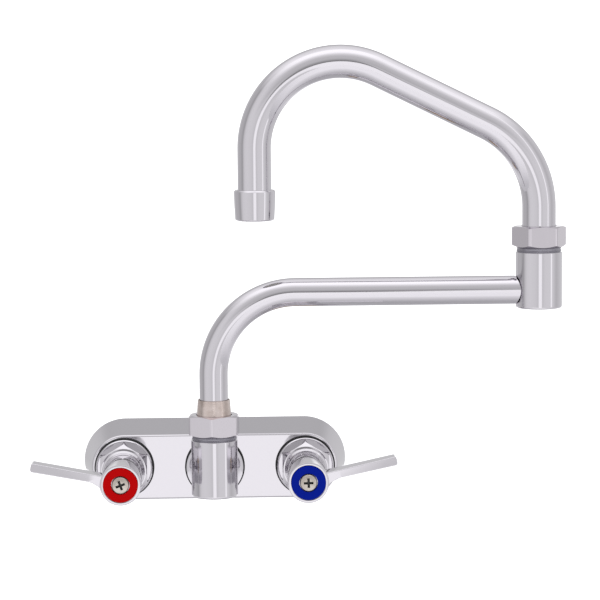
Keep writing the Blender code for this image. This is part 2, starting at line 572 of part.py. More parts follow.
def lower_arm(arm_axis):
    """Swivel stem and bent tube, whose end is cut to a saddle round the elbow."""
    shoulder_top = shoulder_heights(BASE_NUT_Z)[1]
    brazed_r = ARM_TUBE + GAP
    stem_shape = turned("arm_swivel_stem", [
        (brazed_r, ARM_STEM_TOP), (ARM_COLLAR_TOP_R, ARM_STEM_TOP),
        (ARM_COLLAR_R, BASE_NUT_Z + NUT_HEIGHT - 0.4), (ARM_COLLAR_R, shoulder_top), (SHOULDER_R, shoulder_top),
        *stem_foot(BASE_NUT_Z, ARM_STEM_FOOT), (STEM_BORE, ARM_TUBE_FOOT - GAP),
        (brazed_r, ARM_TUBE_FOOT - GAP)])
    as_piece(stem_shape, "brass", arm_axis)
    seals("arm", BASE_NUT_Z, arm_axis)
    corners = [Vector((0, 0, ARM_TUBE_FOOT)), Vector((0, 0, ARM_Z)), Vector((ELBOW_X, 0, ARM_Z))]
    tube = bent_tube("lower_arm_tube", rounded_route(corners, [ARM_BEND]), ARM_TUBE, ARM_TUBE_BORE)
    as_piece(tube, "chrome", arm_axis)
    saddle = rod("saddle_cut", SWIVEL_R + GAP, ARM_Z - SWIVEL_R, ARM_Z + SWIVEL_R, FINE_ROUND)
    saddle.location.x = ELBOW_X * MM
    boolean(tube, "DIFFERENCE", as_guide(saddle, arm_axis))


def elbow_socket(spout_axis):
    """Upright socket, closed below, with a side port to the arm tube."""
    thread_top, floor = shoulder_heights(ELBOW_NUT_Z)[2], ELBOW_FOOT + ELBOW_FLOOR
    outside = socket_outside(ELBOW_NUT_Z, ELBOW_SHOULDER, ELBOW_FOOT, [(0, ELBOW_EDGE), (ELBOW_EDGE, 0)])
    socket = turned("elbow_socket", [
        (0, floor), (SWIVEL_BORE, floor), (SWIVEL_BORE, thread_top), *outside, (0, ELBOW_FOOT)], FINE_ROUND)
    as_piece(socket, "chrome", spout_axis)
    port = rod("side_port", ARM_PORT_R, 0.0, 2 * SWIVEL_R, SMALL_ROUND)
    port.rotation_euler = (0.0, -math.pi / 2, 0.0)
    port.location.z = ARM_Z * MM
    boolean(socket, "DIFFERENCE", as_guide(port, spout_axis))


def upper_spout(spout_axis):
    """Swivel stem with a spigot inside the tube, and the bent tube."""
    shoulder_top = shoulder_heights(ELBOW_NUT_Z)[1]
    spigot, stem_top = SPOUT_TUBE_BORE - GAP, shoulder_top + SPOUT_STEM_RISE
    stem_shape = turned("spout_swivel_stem", [
        (STEM_BORE, stem_top), (spigot - SPOUT_STEM_EDGE, stem_top), (spigot, stem_top - SPOUT_STEM_EDGE),
        (spigot, shoulder_top), (SHOULDER_R, shoulder_top), *stem_foot(ELBOW_NUT_Z, SPOUT_STEM_FOOT)],
        SMALL_ROUND)
    as_piece(stem_shape, "brass", spout_axis)
    seals("spout", ELBOW_NUT_Z, spout_axis)
    foot, mouth = Vector((ELBOW_X, 0, shoulder_top + GAP)), Vector((SPOUT_HIGH.x, 0, SPOUT_END))
    corners = [foot, SPOUT_LOW, SPOUT_HIGH, mouth]
    route = rounded_route(corners, [SPOUT_LOW_BEND, SPOUT_HIGH_BEND])
    route = [place - Vector((ELBOW_X, 0, 0)) for place in route]
    as_piece(bent_tube("upper_spout_tube", route, SPOUT_TUBE, SPOUT_TUBE_BORE), "chrome", spout_axis)


def outlet(spout_axis):
    """Screwed aerator housing with its washer and perforated flow straightener."""
    fit_r, lip, inner_r = SPOUT_TUBE + GAP, OUTLET_Z + MOUTH_LIP, SPOUT_TUBE - 0.1
    washer_top = SPOUT_END - GAP
    washer_foot = washer_top - OUTLET_WASHER_THICK
    housing = turned("aerator_housing", [
        (fit_r, HOUSING_TOP), (HOUSING_R - 0.5, HOUSING_TOP), (HOUSING_R, HOUSING_TOP - 0.9),
        (HOUSING_R - 0.2, HOUSING_TOP - 8.0), (HOUSING_R - 0.6, OUTLET_Z + 0.6), (HOUSING_R - 1.2, OUTLET_Z),
        (MOUTH_R, OUTLET_Z), (MOUTH_R, lip), (fit_r, lip)])
    washer = ring("aerator_washer", inner_r, OUTLET_WASHER_BORE, washer_foot, washer_top, SMALL_ROUND)
    disc = rod("flow_straightener", inner_r, lip + GAP, washer_foot - GAP, SMALL_ROUND)
    axis_x = (SPOUT_HIGH.x - ELBOW_X) * MM
    for piece, finish in ((housing, "chrome"), (washer, "rubber"), (disc, "acetal")):
        piece.location.x = axis_x
        as_piece(piece, finish, spout_axis)
    for number, (x, y) in enumerate([(0.0, 0.0)] + arc((0, 0), PASSAGE_CIRCLE, 0, 300, 5)):
        passage = prism("passage_%d" % number, PASSAGE_R, OUTLET_Z, washer_top, sides=PASSAGE_SIDES)
        passage.location = (axis_x + x * MM, y * MM, 0.0)
        boolean(disc, "DIFFERENCE", as_guide(passage, spout_axis))


def build():
    wall = station("wall_station", (0, 0, 0), facing_out=True)
    hot = station("hot_valve_axis", (-VALVE_X, 0, 0), facing_out=True)
    cold = station("cold_valve_axis", (VALVE_X, 0, 0), facing_out=True)
    arm_axis = station("arm_swing_axis", (0, -SPOUT_OUT, 0))
    spout_axis = station("spout_swing_axis", (ELBOW_X, -SPOUT_OUT, 0))
    valves = (("hot", hot), ("cold", cold))
    wall_gasket(wall)
    body_casting(wall, valves)
    for side, valve in valves:
        inlet(side, valve)
        seat_and_disc(side, valve)
        bonnet(side, valve)
        stem(side, valve)
    lever("hot", hot, -1, HOT_RAISE, "red")
    lever("cold", cold, 1, COLD_RAISE, "blue")
    outlet_elbow(wall, arm_axis)
    swivel_nut("base_swivel_nut", BASE_NUT_Z, BASE_NUT_TURN, ARM_COLLAR_R + 0.4, arm_axis)
    lower_arm(arm_axis)
    elbow_socket(spout_axis)
    swivel_nut("elbow_swivel_nut", ELBOW_NUT_Z, ELBOW_NUT_TURN, SPOUT_TUBE + 0.4, spout_axis)
    upper_spout(spout_axis)
    outlet(spout_axis)


build()
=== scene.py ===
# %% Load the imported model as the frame
import json
import math

import bmesh
import bpy
from mathutils import Matrix, Vector


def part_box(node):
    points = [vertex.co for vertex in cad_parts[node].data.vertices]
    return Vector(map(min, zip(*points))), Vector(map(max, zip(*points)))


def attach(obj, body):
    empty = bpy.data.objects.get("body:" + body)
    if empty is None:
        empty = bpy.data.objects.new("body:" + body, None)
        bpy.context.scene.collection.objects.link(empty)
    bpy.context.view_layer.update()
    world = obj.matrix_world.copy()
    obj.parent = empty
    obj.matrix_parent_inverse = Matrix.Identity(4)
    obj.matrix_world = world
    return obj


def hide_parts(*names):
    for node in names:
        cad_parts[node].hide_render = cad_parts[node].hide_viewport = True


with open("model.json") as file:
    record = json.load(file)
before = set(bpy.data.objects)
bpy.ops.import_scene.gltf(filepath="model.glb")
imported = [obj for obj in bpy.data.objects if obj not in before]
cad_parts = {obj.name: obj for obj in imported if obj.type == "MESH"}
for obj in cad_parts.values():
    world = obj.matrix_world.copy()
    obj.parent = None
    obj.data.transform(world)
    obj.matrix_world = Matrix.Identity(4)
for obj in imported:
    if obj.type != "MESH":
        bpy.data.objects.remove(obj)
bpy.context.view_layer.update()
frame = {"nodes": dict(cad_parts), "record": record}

MM = 0.001
NODES = frame["nodes"]
BODY_OF = {node: body for body, nodes in frame["record"]["behaviour"]["bodies"].items() for node in nodes}
JOINTS = {joint["name"]: joint for joint in frame["record"]["behaviour"]["joints"]}

# %% [markdown]
# # A wall-mounted mixing faucet with a double-jointed swing spout
# The real object is a chrome-plated brass casting on a wall, with two lever valves and two swivel
# joints in the spout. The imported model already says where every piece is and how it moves. What it
# can't give is the surface: polished chrome shows every facet, so each chromed piece is turned, bent
# or cut again here with fine steps and small rounded edges, at the size that the frame has.

# %% Where things are
ARM_AXIS = Vector(JOINTS["arm_swing"]["pos_m"])
SPOUT_AXIS = Vector(JOINTS["spout_swing"]["pos_m"])
VALVES = {side: Vector(JOINTS[side + "_handle_turn"]["pos_m"]) for side in ("hot", "cold")}
VALVE_X = VALVES["cold"].x / MM
SPOUT_OUT = -ARM_AXIS.y / MM


def low(node):
    """The lowest corner of a node, in millimetres."""
    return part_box(node)[0] / MM


def high(node):
    """The highest corner of a node, in millimetres."""
    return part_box(node)[1] / MM


FACE = -low("body_casting").y
print("valves at x = +-%.1f mm, face %.1f mm and spout %.1f mm off the wall" % (VALVE_X, FACE, SPOUT_OUT))

# %% [markdown]
# ## Finishes
# A material is a small tree of nodes. Colours are easiest to judge as sRGB hex codes, but the shader
# wants linear light, so one function turns them. One more function adds a node, sets it and links it,
# which keeps each recipe short enough to read as a list of what the surface does.

# %% Colour and node helpers
def colour(code):
    """A linear colour from an sRGB hex code."""
    parts = [int(code[i:i + 2], 16) / 255 for i in (1, 3, 5)]
    return (*[p / 12.92 if p <= 0.04045 else ((p + 0.055) / 1.055) ** 2.4 for p in parts], 1.0)


def add(tree, kind, sockets=None, **settings):
    """Add a node. A socket's value is a number, a colour or another node's output."""
    made = tree.nodes.new(kind)
    for name, value in settings.items():
        setattr(made, name, value)
    for name, value in (sockets or {}).items():
        if isinstance(value, bpy.types.NodeSocket):
            tree.links.new(value, made.inputs[name])
        else:
            made.inputs[name].default_value = value
    return made


def finish(name, code, **sockets):
    """A Principled material of one colour, and its node tree and shader to build on."""
    made = bpy.data.materials.new(name)
    made.use_nodes = True
    shader = made.node_tree.nodes["Principled BSDF"]
    shader.inputs["Base Color"].default_value = colour(code)
    for socket, value in sockets.items():
        shader.inputs[socket.replace("_", " ")].default_value = value
    return made, made.node_tree, shader


def grain(tree, size_mm, detail=2.0, stretch=(1, 1, 1)):
    """Noise whose lumps are size_mm across, longer along an axis whose stretch is under 1."""
    place = add(tree, "ShaderNodeTexCoord")
    turned = add(tree, "ShaderNodeMapping", {"Vector": place.outputs["Object"], "Scale": stretch})
    return add(tree, "ShaderNodeTexNoise", {"Vector": turned.outputs["Vector"], "Scale": 1 / (size_mm * MM),
                                            "Detail": detail}).outputs["Fac"]


NOISE_LOW, NOISE_HIGH = 0.3, 0.7    # most of the noise lies between these


def drifting(tree, size_mm, detail, lowest, highest):
    """A number that drifts between two values, in lumps size_mm across."""
    return add(tree, "ShaderNodeMapRange", {"Value": grain(tree, size_mm, detail), "From Min": NOISE_LOW,
                                            "From Max": NOISE_HIGH, "To Min": lowest,
                                            "To Max": highest}).outputs["Result"]


def relief(tree, shader, size_mm, detail, depth_mm, strength, stretch=(1, 1, 1)):
    """Lumps size_mm across and depth_mm deep that tilt the surface."""
    bump = add(tree, "ShaderNodeBump", {"Height": grain(tree, size_mm, detail, stretch), "Strength": strength,
                                        "Distance": depth_mm * MM})
    tree.links.new(bump.outputs["Normal"], shader.inputs["Normal"])


# %% [markdown]
# ### Chrome plate
# Decorative chrome is a micron-thin plate over buffed brass. It is nearly a mirror, a little blue-grey,
# and it keeps the faint waves that the buffing wheel left in the brass and small differences in gloss.
# A tube is buffed along its length on a belt. A forged nut is only tumbled, so it is a touch softer,
# and where a thread is cut the plate is dull and painted darker, as shade under the nut. Gloss is a range of
# roughness.

# %% Chrome finishes
def chrome_plate(name, code, gloss, wave_mm, wave_depth_mm):
    made, tree, shader = finish(name, code, Metallic=1.0)
    tree.links.new(drifting(tree, 6.0, 4.0, *gloss), shader.inputs["Roughness"])
    relief(tree, shader, wave_mm, 1.0, wave_depth_mm, 0.6)
    return made


BUFFED_CHROME = chrome_plate("chrome_plate_buffed", "#CCC9CE", (0.035, 0.07), 14.0, 0.012)
TUBE_CHROME = chrome_plate("chrome_plate_belt_polished_tube", "#CCC9CE", (0.05, 0.09), 22.0, 0.012)
TUMBLED_CHROME = chrome_plate("chrome_plate_tumbled_nut", "#CFCAD0", (0.08, 0.12), 2.2, 0.004)
# painted shade: the darker colour stands for the shade under the nut; the higher roughness is the dull plate
DULL_SHADED_THREAD = chrome_plate("chrome_plate_dull_thread_painted_shade", "#96949C", (0.32, 0.45), 1.5, 0.02)
print("chrome finishes made")

# %% [markdown]
# ### Bare metals
# The swivel stem has no plate. It is turned brass that has dulled to a warm beige, with the tool's
# feed marks round it. The shanks and nuts behind the wall are the same brass, yellower where nobody
# handles it. The screws are stainless steel, faced in a lathe, with painted shade in their recesses.

# %% Bare metal finishes
LONG_WAY_ROUND = (0.02, 0.02, 1.0)    # stretches noise across Z, so that it runs round as feed rings


def turned_metal(name, code, darker, feed_mm, rough):
    """Machined metal: fine feed rings along Z and a tarnish that drifts between two colours."""
    made, tree, shader = finish(name, code, Metallic=1.0)
    mixed = add(tree, "ShaderNodeMix", {0: drifting(tree, 5.0, 5.0, 0.0, 1.0), 6: colour(code),
                                        7: colour(darker)}, data_type="RGBA")
    tree.links.new(mixed.outputs[2], shader.inputs["Base Color"])
    tree.links.new(drifting(tree, 3.0, 3.0, rough - 0.05, rough + 0.08), shader.inputs["Roughness"])
    relief(tree, shader, feed_mm, 0.0, 0.02, 0.35, LONG_WAY_ROUND)
    return made


DULLED_BRASS = turned_metal("turned_brass_dulled", "#D3C6C1", "#B8A9A2", 0.5, 0.17)
RAW_BRASS = turned_metal("turned_brass_raw", "#D8B878", "#B08C4E", 0.4, 0.28)
FACED_STAINLESS = turned_metal("faced_stainless_steel", "#C9C1B9", "#B3AAA1", 0.3, 0.34)
# painted shade: from this depth inward, the screw's cross recess and the gap under its head are painted near
# black
SHADE_FROM_Y, FULL_SHADE_Y, RECESS_SHADE_COLOUR = -85.25, -84.85, "#0C0B0A"


def painted_shade_recess(name, code, darker, feed_mm, rough):
    """The same faced metal, painted black below a depth behind the face, as painted shade in the recess."""
    made = turned_metal(name, code, darker, feed_mm, rough)
    tree = made.node_tree
    shader = tree.nodes["Principled BSDF"]
    place = add(tree, "ShaderNodeTexCoord").outputs["Object"]
    depth = add(tree, "ShaderNodeSeparateXYZ", {"Vector": place}).outputs["Y"]
    # painted shade: black is mixed into the colour and metallic is taken away deeper than the face
    shade_share = add(tree, "ShaderNodeMapRange", {"Value": depth, "From Min": SHADE_FROM_Y * MM,
                                             "From Max": FULL_SHADE_Y * MM}).outputs["Result"]
    unshaded = shader.inputs["Base Color"].links[0].from_socket
    with_shade = add(tree, "ShaderNodeMix", {0: shade_share, 6: unshaded, 7: colour(RECESS_SHADE_COLOUR)}, data_type="RGBA")
    tree.links.new(with_shade.outputs[2], shader.inputs["Base Color"])
    bare = add(tree, "ShaderNodeMath", {0: 1.0, 1: shade_share}, operation="SUBTRACT")
    tree.links.new(bare.outputs[0], shader.inputs["Metallic"])
    return made


# the screws carry painted shade in their recesses
SCREW_STEEL = painted_shade_recess("faced_stainless_screw", "#C9C1B9", "#B3AAA1", 0.3, 0.34)
ZINC_STEEL = turned_metal("zinc_plated_spring_steel", "#C9CBD0", "#A9ABAF", 0.6, 0.34)
print("bare metals made")

# %% [markdown]
# ### Rubber and plastics
# Gaskets and O-rings are black nitrile with a dry, slightly mottled skin. The index rings are moulded
# in coloured plastic with a satin tool finish. The thrust washers are skived PTFE and the flow
# straightener is moulded acetal, both off-white.

# %% Rubber and plastic finishes
def moulded(name, code, rough, skin_mm, skin_depth_mm, ior=1.5, gloss=0.5):
    made, tree, shader = finish(name, code, IOR=ior, Specular_IOR_Level=gloss)
    tree.links.new(drifting(tree, 4.0, 3.0, rough - 0.04, rough + 0.06), shader.inputs["Roughness"])
    relief(tree, shader, skin_mm, 3.0, skin_depth_mm, 0.5)
    return made


NITRILE = moulded("moulded_nitrile_rubber", "#1C1C1E", 0.62, 0.5, 0.02)
INDEX_RED = moulded("moulded_index_ring_red", "#B40103", 0.45, 0.7, 0.012, gloss=0.04)
INDEX_BLUE = moulded("moulded_index_ring_blue", "#021A8A", 0.45, 0.7, 0.012, gloss=0.04)
PTFE = moulded("skived_ptfe", "#EDEDE8", 0.45, 0.3, 0.01, 1.38)
ACETAL = moulded("moulded_acetal", "#E9E8E0", 0.38, 0.4, 0.01, 1.48)
print("rubber and plastics made")

# %% [markdown]
# ## Shaping tools
# Almost every piece here was turned in a lathe, so the main tool is a profile spun round an axis.
# A lathe never leaves a perfectly sharp corner, and the small round that it does leave is what catches
# the light, so the profile's corners are rounded before it is spun.

# %% Profiles and spinning
SAME_PLACE = 1e-7    # metres; points closer than this are one point


def softened(corners, segments=4):
    """Round a closed outline. A corner is (radius, height, round), in millimetres; a round of 0 is sharp."""
    outline = []
    count = len(corners)
    for i, (x, y, size) in enumerate(corners):
        here = Vector((x, y))
        to_last = Vector(corners[i - 1][:2]) - here
        to_next = Vector(corners[(i + 1) % count][:2]) - here
        if not size:
            outline.append(here)
            continue
        half = to_last.angle(to_next) / 2
        back = min(size / math.tan(half), 0.49 * to_last.length, 0.49 * to_next.length)
        start, end = here + to_last.normalized() * back, here + to_next.normalized() * back
        for step in range(segments + 1):
            t = step / segments
            outline.append(start * (1 - t) ** 2 + here * 2 * t * (1 - t) + end * t ** 2)
    return outline


def spun(corners, steps=128, segments=4):
    """A bmesh of an outline turned round local Z. An outline that touches the axis makes a solid."""
    bm = bmesh.new()
    points = softened(corners, segments)
    verts = [bm.verts.new((p.x * MM, 0.0, p.y * MM)) for p in points]
    pairs = list(zip(verts, verts[1:] + verts[:1]))
    edges = [bm.edges.new(pair) for pair in pairs if any(abs(v.co.x) > 1e-9 for v in pair)]
    bmesh.ops.spin(bm, geom=verts + edges, cent=(0, 0, 0), axis=(0, 0, 1), angle=math.tau, steps=steps,
                   use_merge=True, use_duplicate=False)
    return closed(bm)


def closed(bm):
    """Merge doubles, drop empty faces and turn every face outwards."""
    bmesh.ops.remove_doubles(bm, verts=bm.verts, dist=SAME_PLACE)
    bmesh.ops.dissolve_degenerate(bm, edges=bm.edges, dist=SAME_PLACE / 10)
    bmesh.ops.recalc_face_normals(bm, faces=bm.faces)
    return bm


OUT_OF_WALL = Matrix.Rotation(math.pi / 2, 4, "X")


def upright(bm, axis):
    """Place a shape whose heights are above the origin on an upright axis."""
    bm.transform(Matrix.Translation((axis.x, axis.y, 0.0)))
    return bm


def facing_out(bm, x=0.0):
    """Place a shape whose heights are distances in front of the wall."""
    bm.transform(Matrix.Translation((x, 0.0, 0.0)) @ OUT_OF_WALL)
    return bm


# %% [markdown]
# ### Shading, riding and cutting
# Chrome shows how a surface is shaded, so a piece is shaded smooth, its real edges are marked sharp and
# its normals lean towards its larger faces. Holes and joins are exact Booleans, done once and kept as
# mesh.

# %% Turning a bmesh into a piece of the faucet
def piece(name, bm, material, nodes, sharp=32.0, bevel_mm=0.0):
    """A finished object that stands for the named nodes and rides with them."""
    mesh = bpy.data.meshes.new(name)
    bm.to_mesh(mesh)
    bm.free()
    return dress(bpy.data.objects.new(name, mesh), material, nodes, sharp, bevel_mm)


WIDE_FLAT_MM2 = 25.0


def sharpen_real_edges(mesh):
    """Keep two kinds of edge sharp: an open rim, which Solidify closes, and a turn between wide flats."""
    bm = bmesh.new()
    bm.from_mesh(mesh)
    crisp = [e.index for e in bm.edges if e.is_boundary]
    crisp += [e.index for e in bm.edges if e.is_manifold and e.calc_face_angle() > math.radians(2)
              and min(f.calc_area() for f in e.link_faces) > WIDE_FLAT_MM2 * MM * MM]
    bm.free()
    for index in crisp:
        mesh.edges[index].use_edge_sharp = True


def dress(obj, material, nodes, sharp, bevel_mm):
    obj.data.materials.clear()
    obj.data.materials.append(material)
    obj.data.shade_smooth()
    obj.data.set_sharp_from_angle(angle=math.radians(sharp))
    sharpen_real_edges(obj.data)
    bpy.context.scene.collection.objects.link(obj)
    if bevel_mm:
        edge = obj.modifiers.new("worn_edges", "BEVEL")
        edge.width = bevel_mm * MM
        edge.segments = 3
        edge.limit_method = "ANGLE"
        edge.angle_limit = math.radians(sharp)
        edge.harden_normals = True
    even = obj.modifiers.new("even_shading", "WEIGHTED_NORMAL")
    even.keep_sharp = True
    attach(obj, BODY_OF[nodes[0]])
    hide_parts(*nodes)
    print("%s: %d faces, rides on %s" % (obj.name, len(obj.data.polygons), BODY_OF[nodes[0]]))
    return obj


def combined(name, operation, first, *others):
    """Join or cut bmeshes with exact Booleans, and return the result as a bmesh."""
    held = []
    for number, bm in enumerate((first, *others)):
        mesh = bpy.data.meshes.new("%s_%d" % (name, number))
        bm.to_mesh(mesh)
        bm.free()
        held.append(bpy.data.objects.new(mesh.name, mesh))
        bpy.context.scene.collection.objects.link(held[-1])
    for other in held[1:]:
        step = held[0].modifiers.new("step", "BOOLEAN")
        step.operation = operation
        step.object = other
    view = bpy.context.evaluated_depsgraph_get()
    result = bmesh.new()
    result.from_mesh(bpy.data.meshes.new_from_object(held[0].evaluated_get(view)))
    for obj in held:
        bpy.data.objects.remove(obj)
    bmesh.ops.remove_doubles(result, verts=result.verts, dist=SAME_PLACE)
    return result


# %% [markdown]
# ## Body casting
# The body is a tapered obround, wider at the wall, cast hollow and open at the back. It starts as a
# cone: its right half slides to one valve and its left half to the other, which leaves two round ends
# joined by flat sides. The front edge is bevelled, three holes are left in the face for the valves and
# the outlet, and Solidify gives the skin its cast wall.

# %% Body casting
BODY_BACK_R, BODY_FRONT_R, BODY_EDGE, CAST_WALL = 23.8, 18.1, 0.9, 2.6
VALVE_HOLE_R, VALVE_HOLE_DEPTH, OUTLET_HOLE_R, OUTLET_HOLE_DEPTH = 10.5, 14.6, 9.3, 14.0


def obround_cone(back_radius, front_radius, back, front, segments=192):
    """A cone along local Z whose halves are slid apart to the valves."""
    bm = bmesh.new()
    middle = Matrix.Translation((0, 0, (back + front) / 2 * MM))
    bmesh.ops.create_cone(bm, cap_ends=True, segments=segments, radius1=back_radius * MM,
                          radius2=front_radius * MM, depth=(front - back) * MM,
                          matrix=middle @ Matrix.Rotation(math.pi / segments, 4, "Z"))
    for vert in bm.verts:
        vert.co.x += math.copysign(VALVE_X * MM, vert.co.x)
    return bm


def body_skin():
    bm = obround_cone(BODY_BACK_R, BODY_FRONT_R, -high("body_casting").y, FACE)
    rim = [e for e in bm.edges if all(v.co.z > (FACE - 0.1) * MM for v in e.verts)]
    bmesh.ops.bevel(bm, geom=rim, offset=BODY_EDGE * MM, offset_type="OFFSET", segments=5, profile=0.5,
                    affect="EDGES", material=-1)
    caps = [f for f in bm.faces if abs(f.normal.z) > 0.999]
    bmesh.ops.delete(bm, geom=caps, context="FACES_ONLY")
    return bm


def front_holes(bm, holes):
    """Refill the front face round its holes, and draw each hole's wall back into the body."""
    rim = [e for e in bm.edges if e.is_boundary and e.verts[0].co.z > (FACE - 0.1) * MM]
    loops = []
    for x, radius, depth in holes:
        made = bmesh.ops.create_circle(bm, cap_ends=False, segments=96, radius=radius * MM,
                                       matrix=Matrix.Translation((x * MM, 0, FACE * MM)))
        loops.append((list({e for v in made["verts"] for e in v.link_edges}), depth))
    bmesh.ops.triangle_fill(bm, edges=rim + [e for edges, _ in loops for e in edges], use_beauty=True,
                            normal=(0, 0, 1))
    for edges, depth in loops:
        wall = bmesh.ops.extrude_edge_only(bm, edges=edges)["geom"]
        bmesh.ops.translate(bm, verts=[g for g in wall if isinstance(g, bmesh.types.BMVert)],
                            vec=(0, 0, -depth * MM))
    bmesh.ops.recalc_face_normals(bm, faces=bm.faces)
    if max(bm.faces, key=lambda f: f.calc_center_median().z).normal.z < 0:
        bmesh.ops.reverse_faces(bm, faces=bm.faces)


skin = body_skin()
front_holes(skin, [(-VALVE_X, VALVE_HOLE_R, VALVE_HOLE_DEPTH), (VALVE_X, VALVE_HOLE_R, VALVE_HOLE_DEPTH),
                   (0.0, OUTLET_HOLE_R, OUTLET_HOLE_DEPTH)])
body = piece("body_casting_skin", facing_out(skin), BUFFED_CHROME, ["body_casting"])
wall = body.modifiers.new("cast_wall", "SOLIDIFY")
wall.thickness = CAST_WALL * MM
wall.offset = -1.0
body.modifiers.move(1, 0)

# %% [markdown]
# ## Outlet elbow
# The outlet is one casting: a round flange on the face, a neck that flares into it, and an upright
# socket that the arm's stem drops into. The neck and the socket are spun on their own axes and joined,
# and then the bore and the waterway are cut out of both. Above its shoulder the socket is thinner,
# which is where the nut's thread is.

# %% Outlet elbow
SWIVEL_R, THREAD_R, SWIVEL_BORE, FOOT_ROUND, FLOOR_THICK = 12.7, 11.9, 8.6, 1.4, 3.0
BASE_FOOT, BASE_FLOOR, BASE_SHOULDER, ELBOW_SHOULDER = -11.3, -7.8, 20.1, 121.8
FLANGE_BACK, FLANGE_R, FLANGE_THICK = FACE + 1.4, 15.9, 2.2
NECK_R, FLARE_DROP, FLARE_RUN = 9.5, 6.2, 6.6
SPIGOT_R, SPIGOT_BACK, WATERWAY_R = 9.0, 22.0, 6.0
PAST = 1.0    # how far a cutter runs past the face that it opens


def socket_outline(foot, shoulder, top, floor):
    """A cylinder, its shoulder, the thinner thread above it and the bore down to its floor."""
    return [(0, floor, 0), (SWIVEL_BORE, floor, 0.6), (SWIVEL_BORE, top, 0.2), (THREAD_R, top, 0.5),
            (THREAD_R, shoulder, 0.15), (SWIVEL_R, shoulder, 0.35), (SWIVEL_R, foot, FOOT_ROUND),
            (0, foot, 0)]


def neck_outline():
    """Flange on the face, flaring forward into the neck."""
    flare = []
    for degrees in range(0, 91, 10):
        a = math.radians(degrees)
        flare.append((FLANGE_R - FLARE_DROP * math.sin(a),
                      FLANGE_BACK + FLANGE_THICK + FLARE_RUN * (1 - math.cos(a)), 0))
    return [(0, SPIGOT_BACK, 0), (SPIGOT_R, SPIGOT_BACK, 0.3), (SPIGOT_R, FLANGE_BACK, 0.1),
            (FLANGE_R, FLANGE_BACK, 0.2), *flare, (NECK_R, SPOUT_OUT, 0), (0, SPOUT_OUT, 0)]


def drill(radius, start, end, start_round=0.0):
    """The outline of a plain cylinder, to cut a hole with."""
    return [(0, start, 0), (radius, start, start_round), (radius, end, 0), (0, end, 0)]


def outlet_elbow():
    top = high("outlet_elbow").z
    socket = upright(spun(socket_outline(BASE_FOOT, BASE_SHOULDER, top, top - FLOOR_THICK)), ARM_AXIS)
    shell = combined("elbow", "UNION", socket, facing_out(spun(neck_outline())))
    bore = upright(spun(drill(SWIVEL_BORE, BASE_FLOOR, top + PAST, 0.8)), ARM_AXIS)
    passage = facing_out(spun(drill(WATERWAY_R, SPIGOT_BACK - PAST, SPOUT_OUT), 64))
    return combined("elbow_bored", "DIFFERENCE", shell, bore, passage)


piece("outlet_elbow_casting", outlet_elbow(), BUFFED_CHROME, ["outlet_elbow"])

# %% [markdown]
# ## Threads below the nuts
# A little of each socket's thread shows between its shoulder and its nut. The real one is a helix, but
# only two turns of it are in sight, so a sleeve with two plain ridges is enough. It is a piece of its
# own because the plate is dull there and its colour is darker as painted shade under the nut, while the
# rest of the socket is bright.

# %% Threads that show below the nuts
def shown_thread(name, node, foot, top, axis, turns=2):
    """A dull sleeve with ridges, coloured darker as painted shade, just outside the socket's thread cylinder.
    """
    pitch = (top - foot) / turns
    hidden, root, crest = THREAD_R - 0.3, THREAD_R + 0.05, THREAD_R + 0.45
    outline = [(hidden, top, 0), (root, top, 0)]
    for turn in range(turns):
        start = top - turn * pitch
        outline += [(root, start - 0.2 * pitch, 0.05), (crest, start - 0.5 * pitch, 0.1),
                    (root, start - 0.8 * pitch, 0.05)]
    outline += [(root, foot, 0), (hidden, foot, 0)]
    return piece(name, upright(spun(outline, 96, 2), axis), DULL_SHADED_THREAD, [node])


# each sleeve is coloured darker as painted shade under its nut
for joint, node, shoulder, axis in (("base", "outlet_elbow", BASE_SHOULDER, ARM_AXIS),
                                    ("elbow", "elbow_socket", ELBOW_SHOULDER, SPOUT_AXIS)):
    shown_thread(joint + "_thread_dull_painted_shade", node, shoulder + 0.02, low(joint + "_swivel_nut").z + 0.4, axis)

# %% [markdown]
# ## Hex nuts
# A hex nut starts round. It is turned with its chamfers and its bore, and then six flats are milled.
# The same order works here: spin the turned blank, slice it with six planes and fill each slice. The
# swivel nuts have worn corners that catch the light, so more narrow slices round each of them.

# %% Hex nuts
NUT_CORNER, NUT_FLAT, NUT_ROUND, NUT_BORE, NUT_LIP = 15.25, 13.3, 2.2, 12.2, 2.8


def everything(bm):
    return bm.verts[:] + bm.edges[:] + bm.faces[:]


def milled(bm, flat, turn=0.0, corner_round=0.0):
    """Cut six flats, the first along +X when turn is 0, and round the corners between them."""
    cuts = [(60 * side, flat) for side in range(6)]
    if corner_round:
        centre = (flat - corner_round) / math.cos(math.pi / 6)
        cuts += [(60 * side + 30 + lean, centre * math.cos(math.radians(lean)) + corner_round)
                 for side in range(6) for lean in range(-24, 25, 6)]
    for degrees, distance in cuts:
        a = math.radians(turn + degrees)
        facing = Vector((math.cos(a), math.sin(a), 0.0))
        cut = bmesh.ops.bisect_plane(bm, geom=everything(bm), plane_co=facing * distance * MM,
                                     plane_no=facing, clear_outer=True, dist=SAME_PLACE / 10)
        edges = [g for g in cut["geom_cut"] if isinstance(g, bmesh.types.BMEdge) and g.is_boundary]
        bmesh.ops.edgeloop_fill(bm, edges=edges)
    return closed(bm)


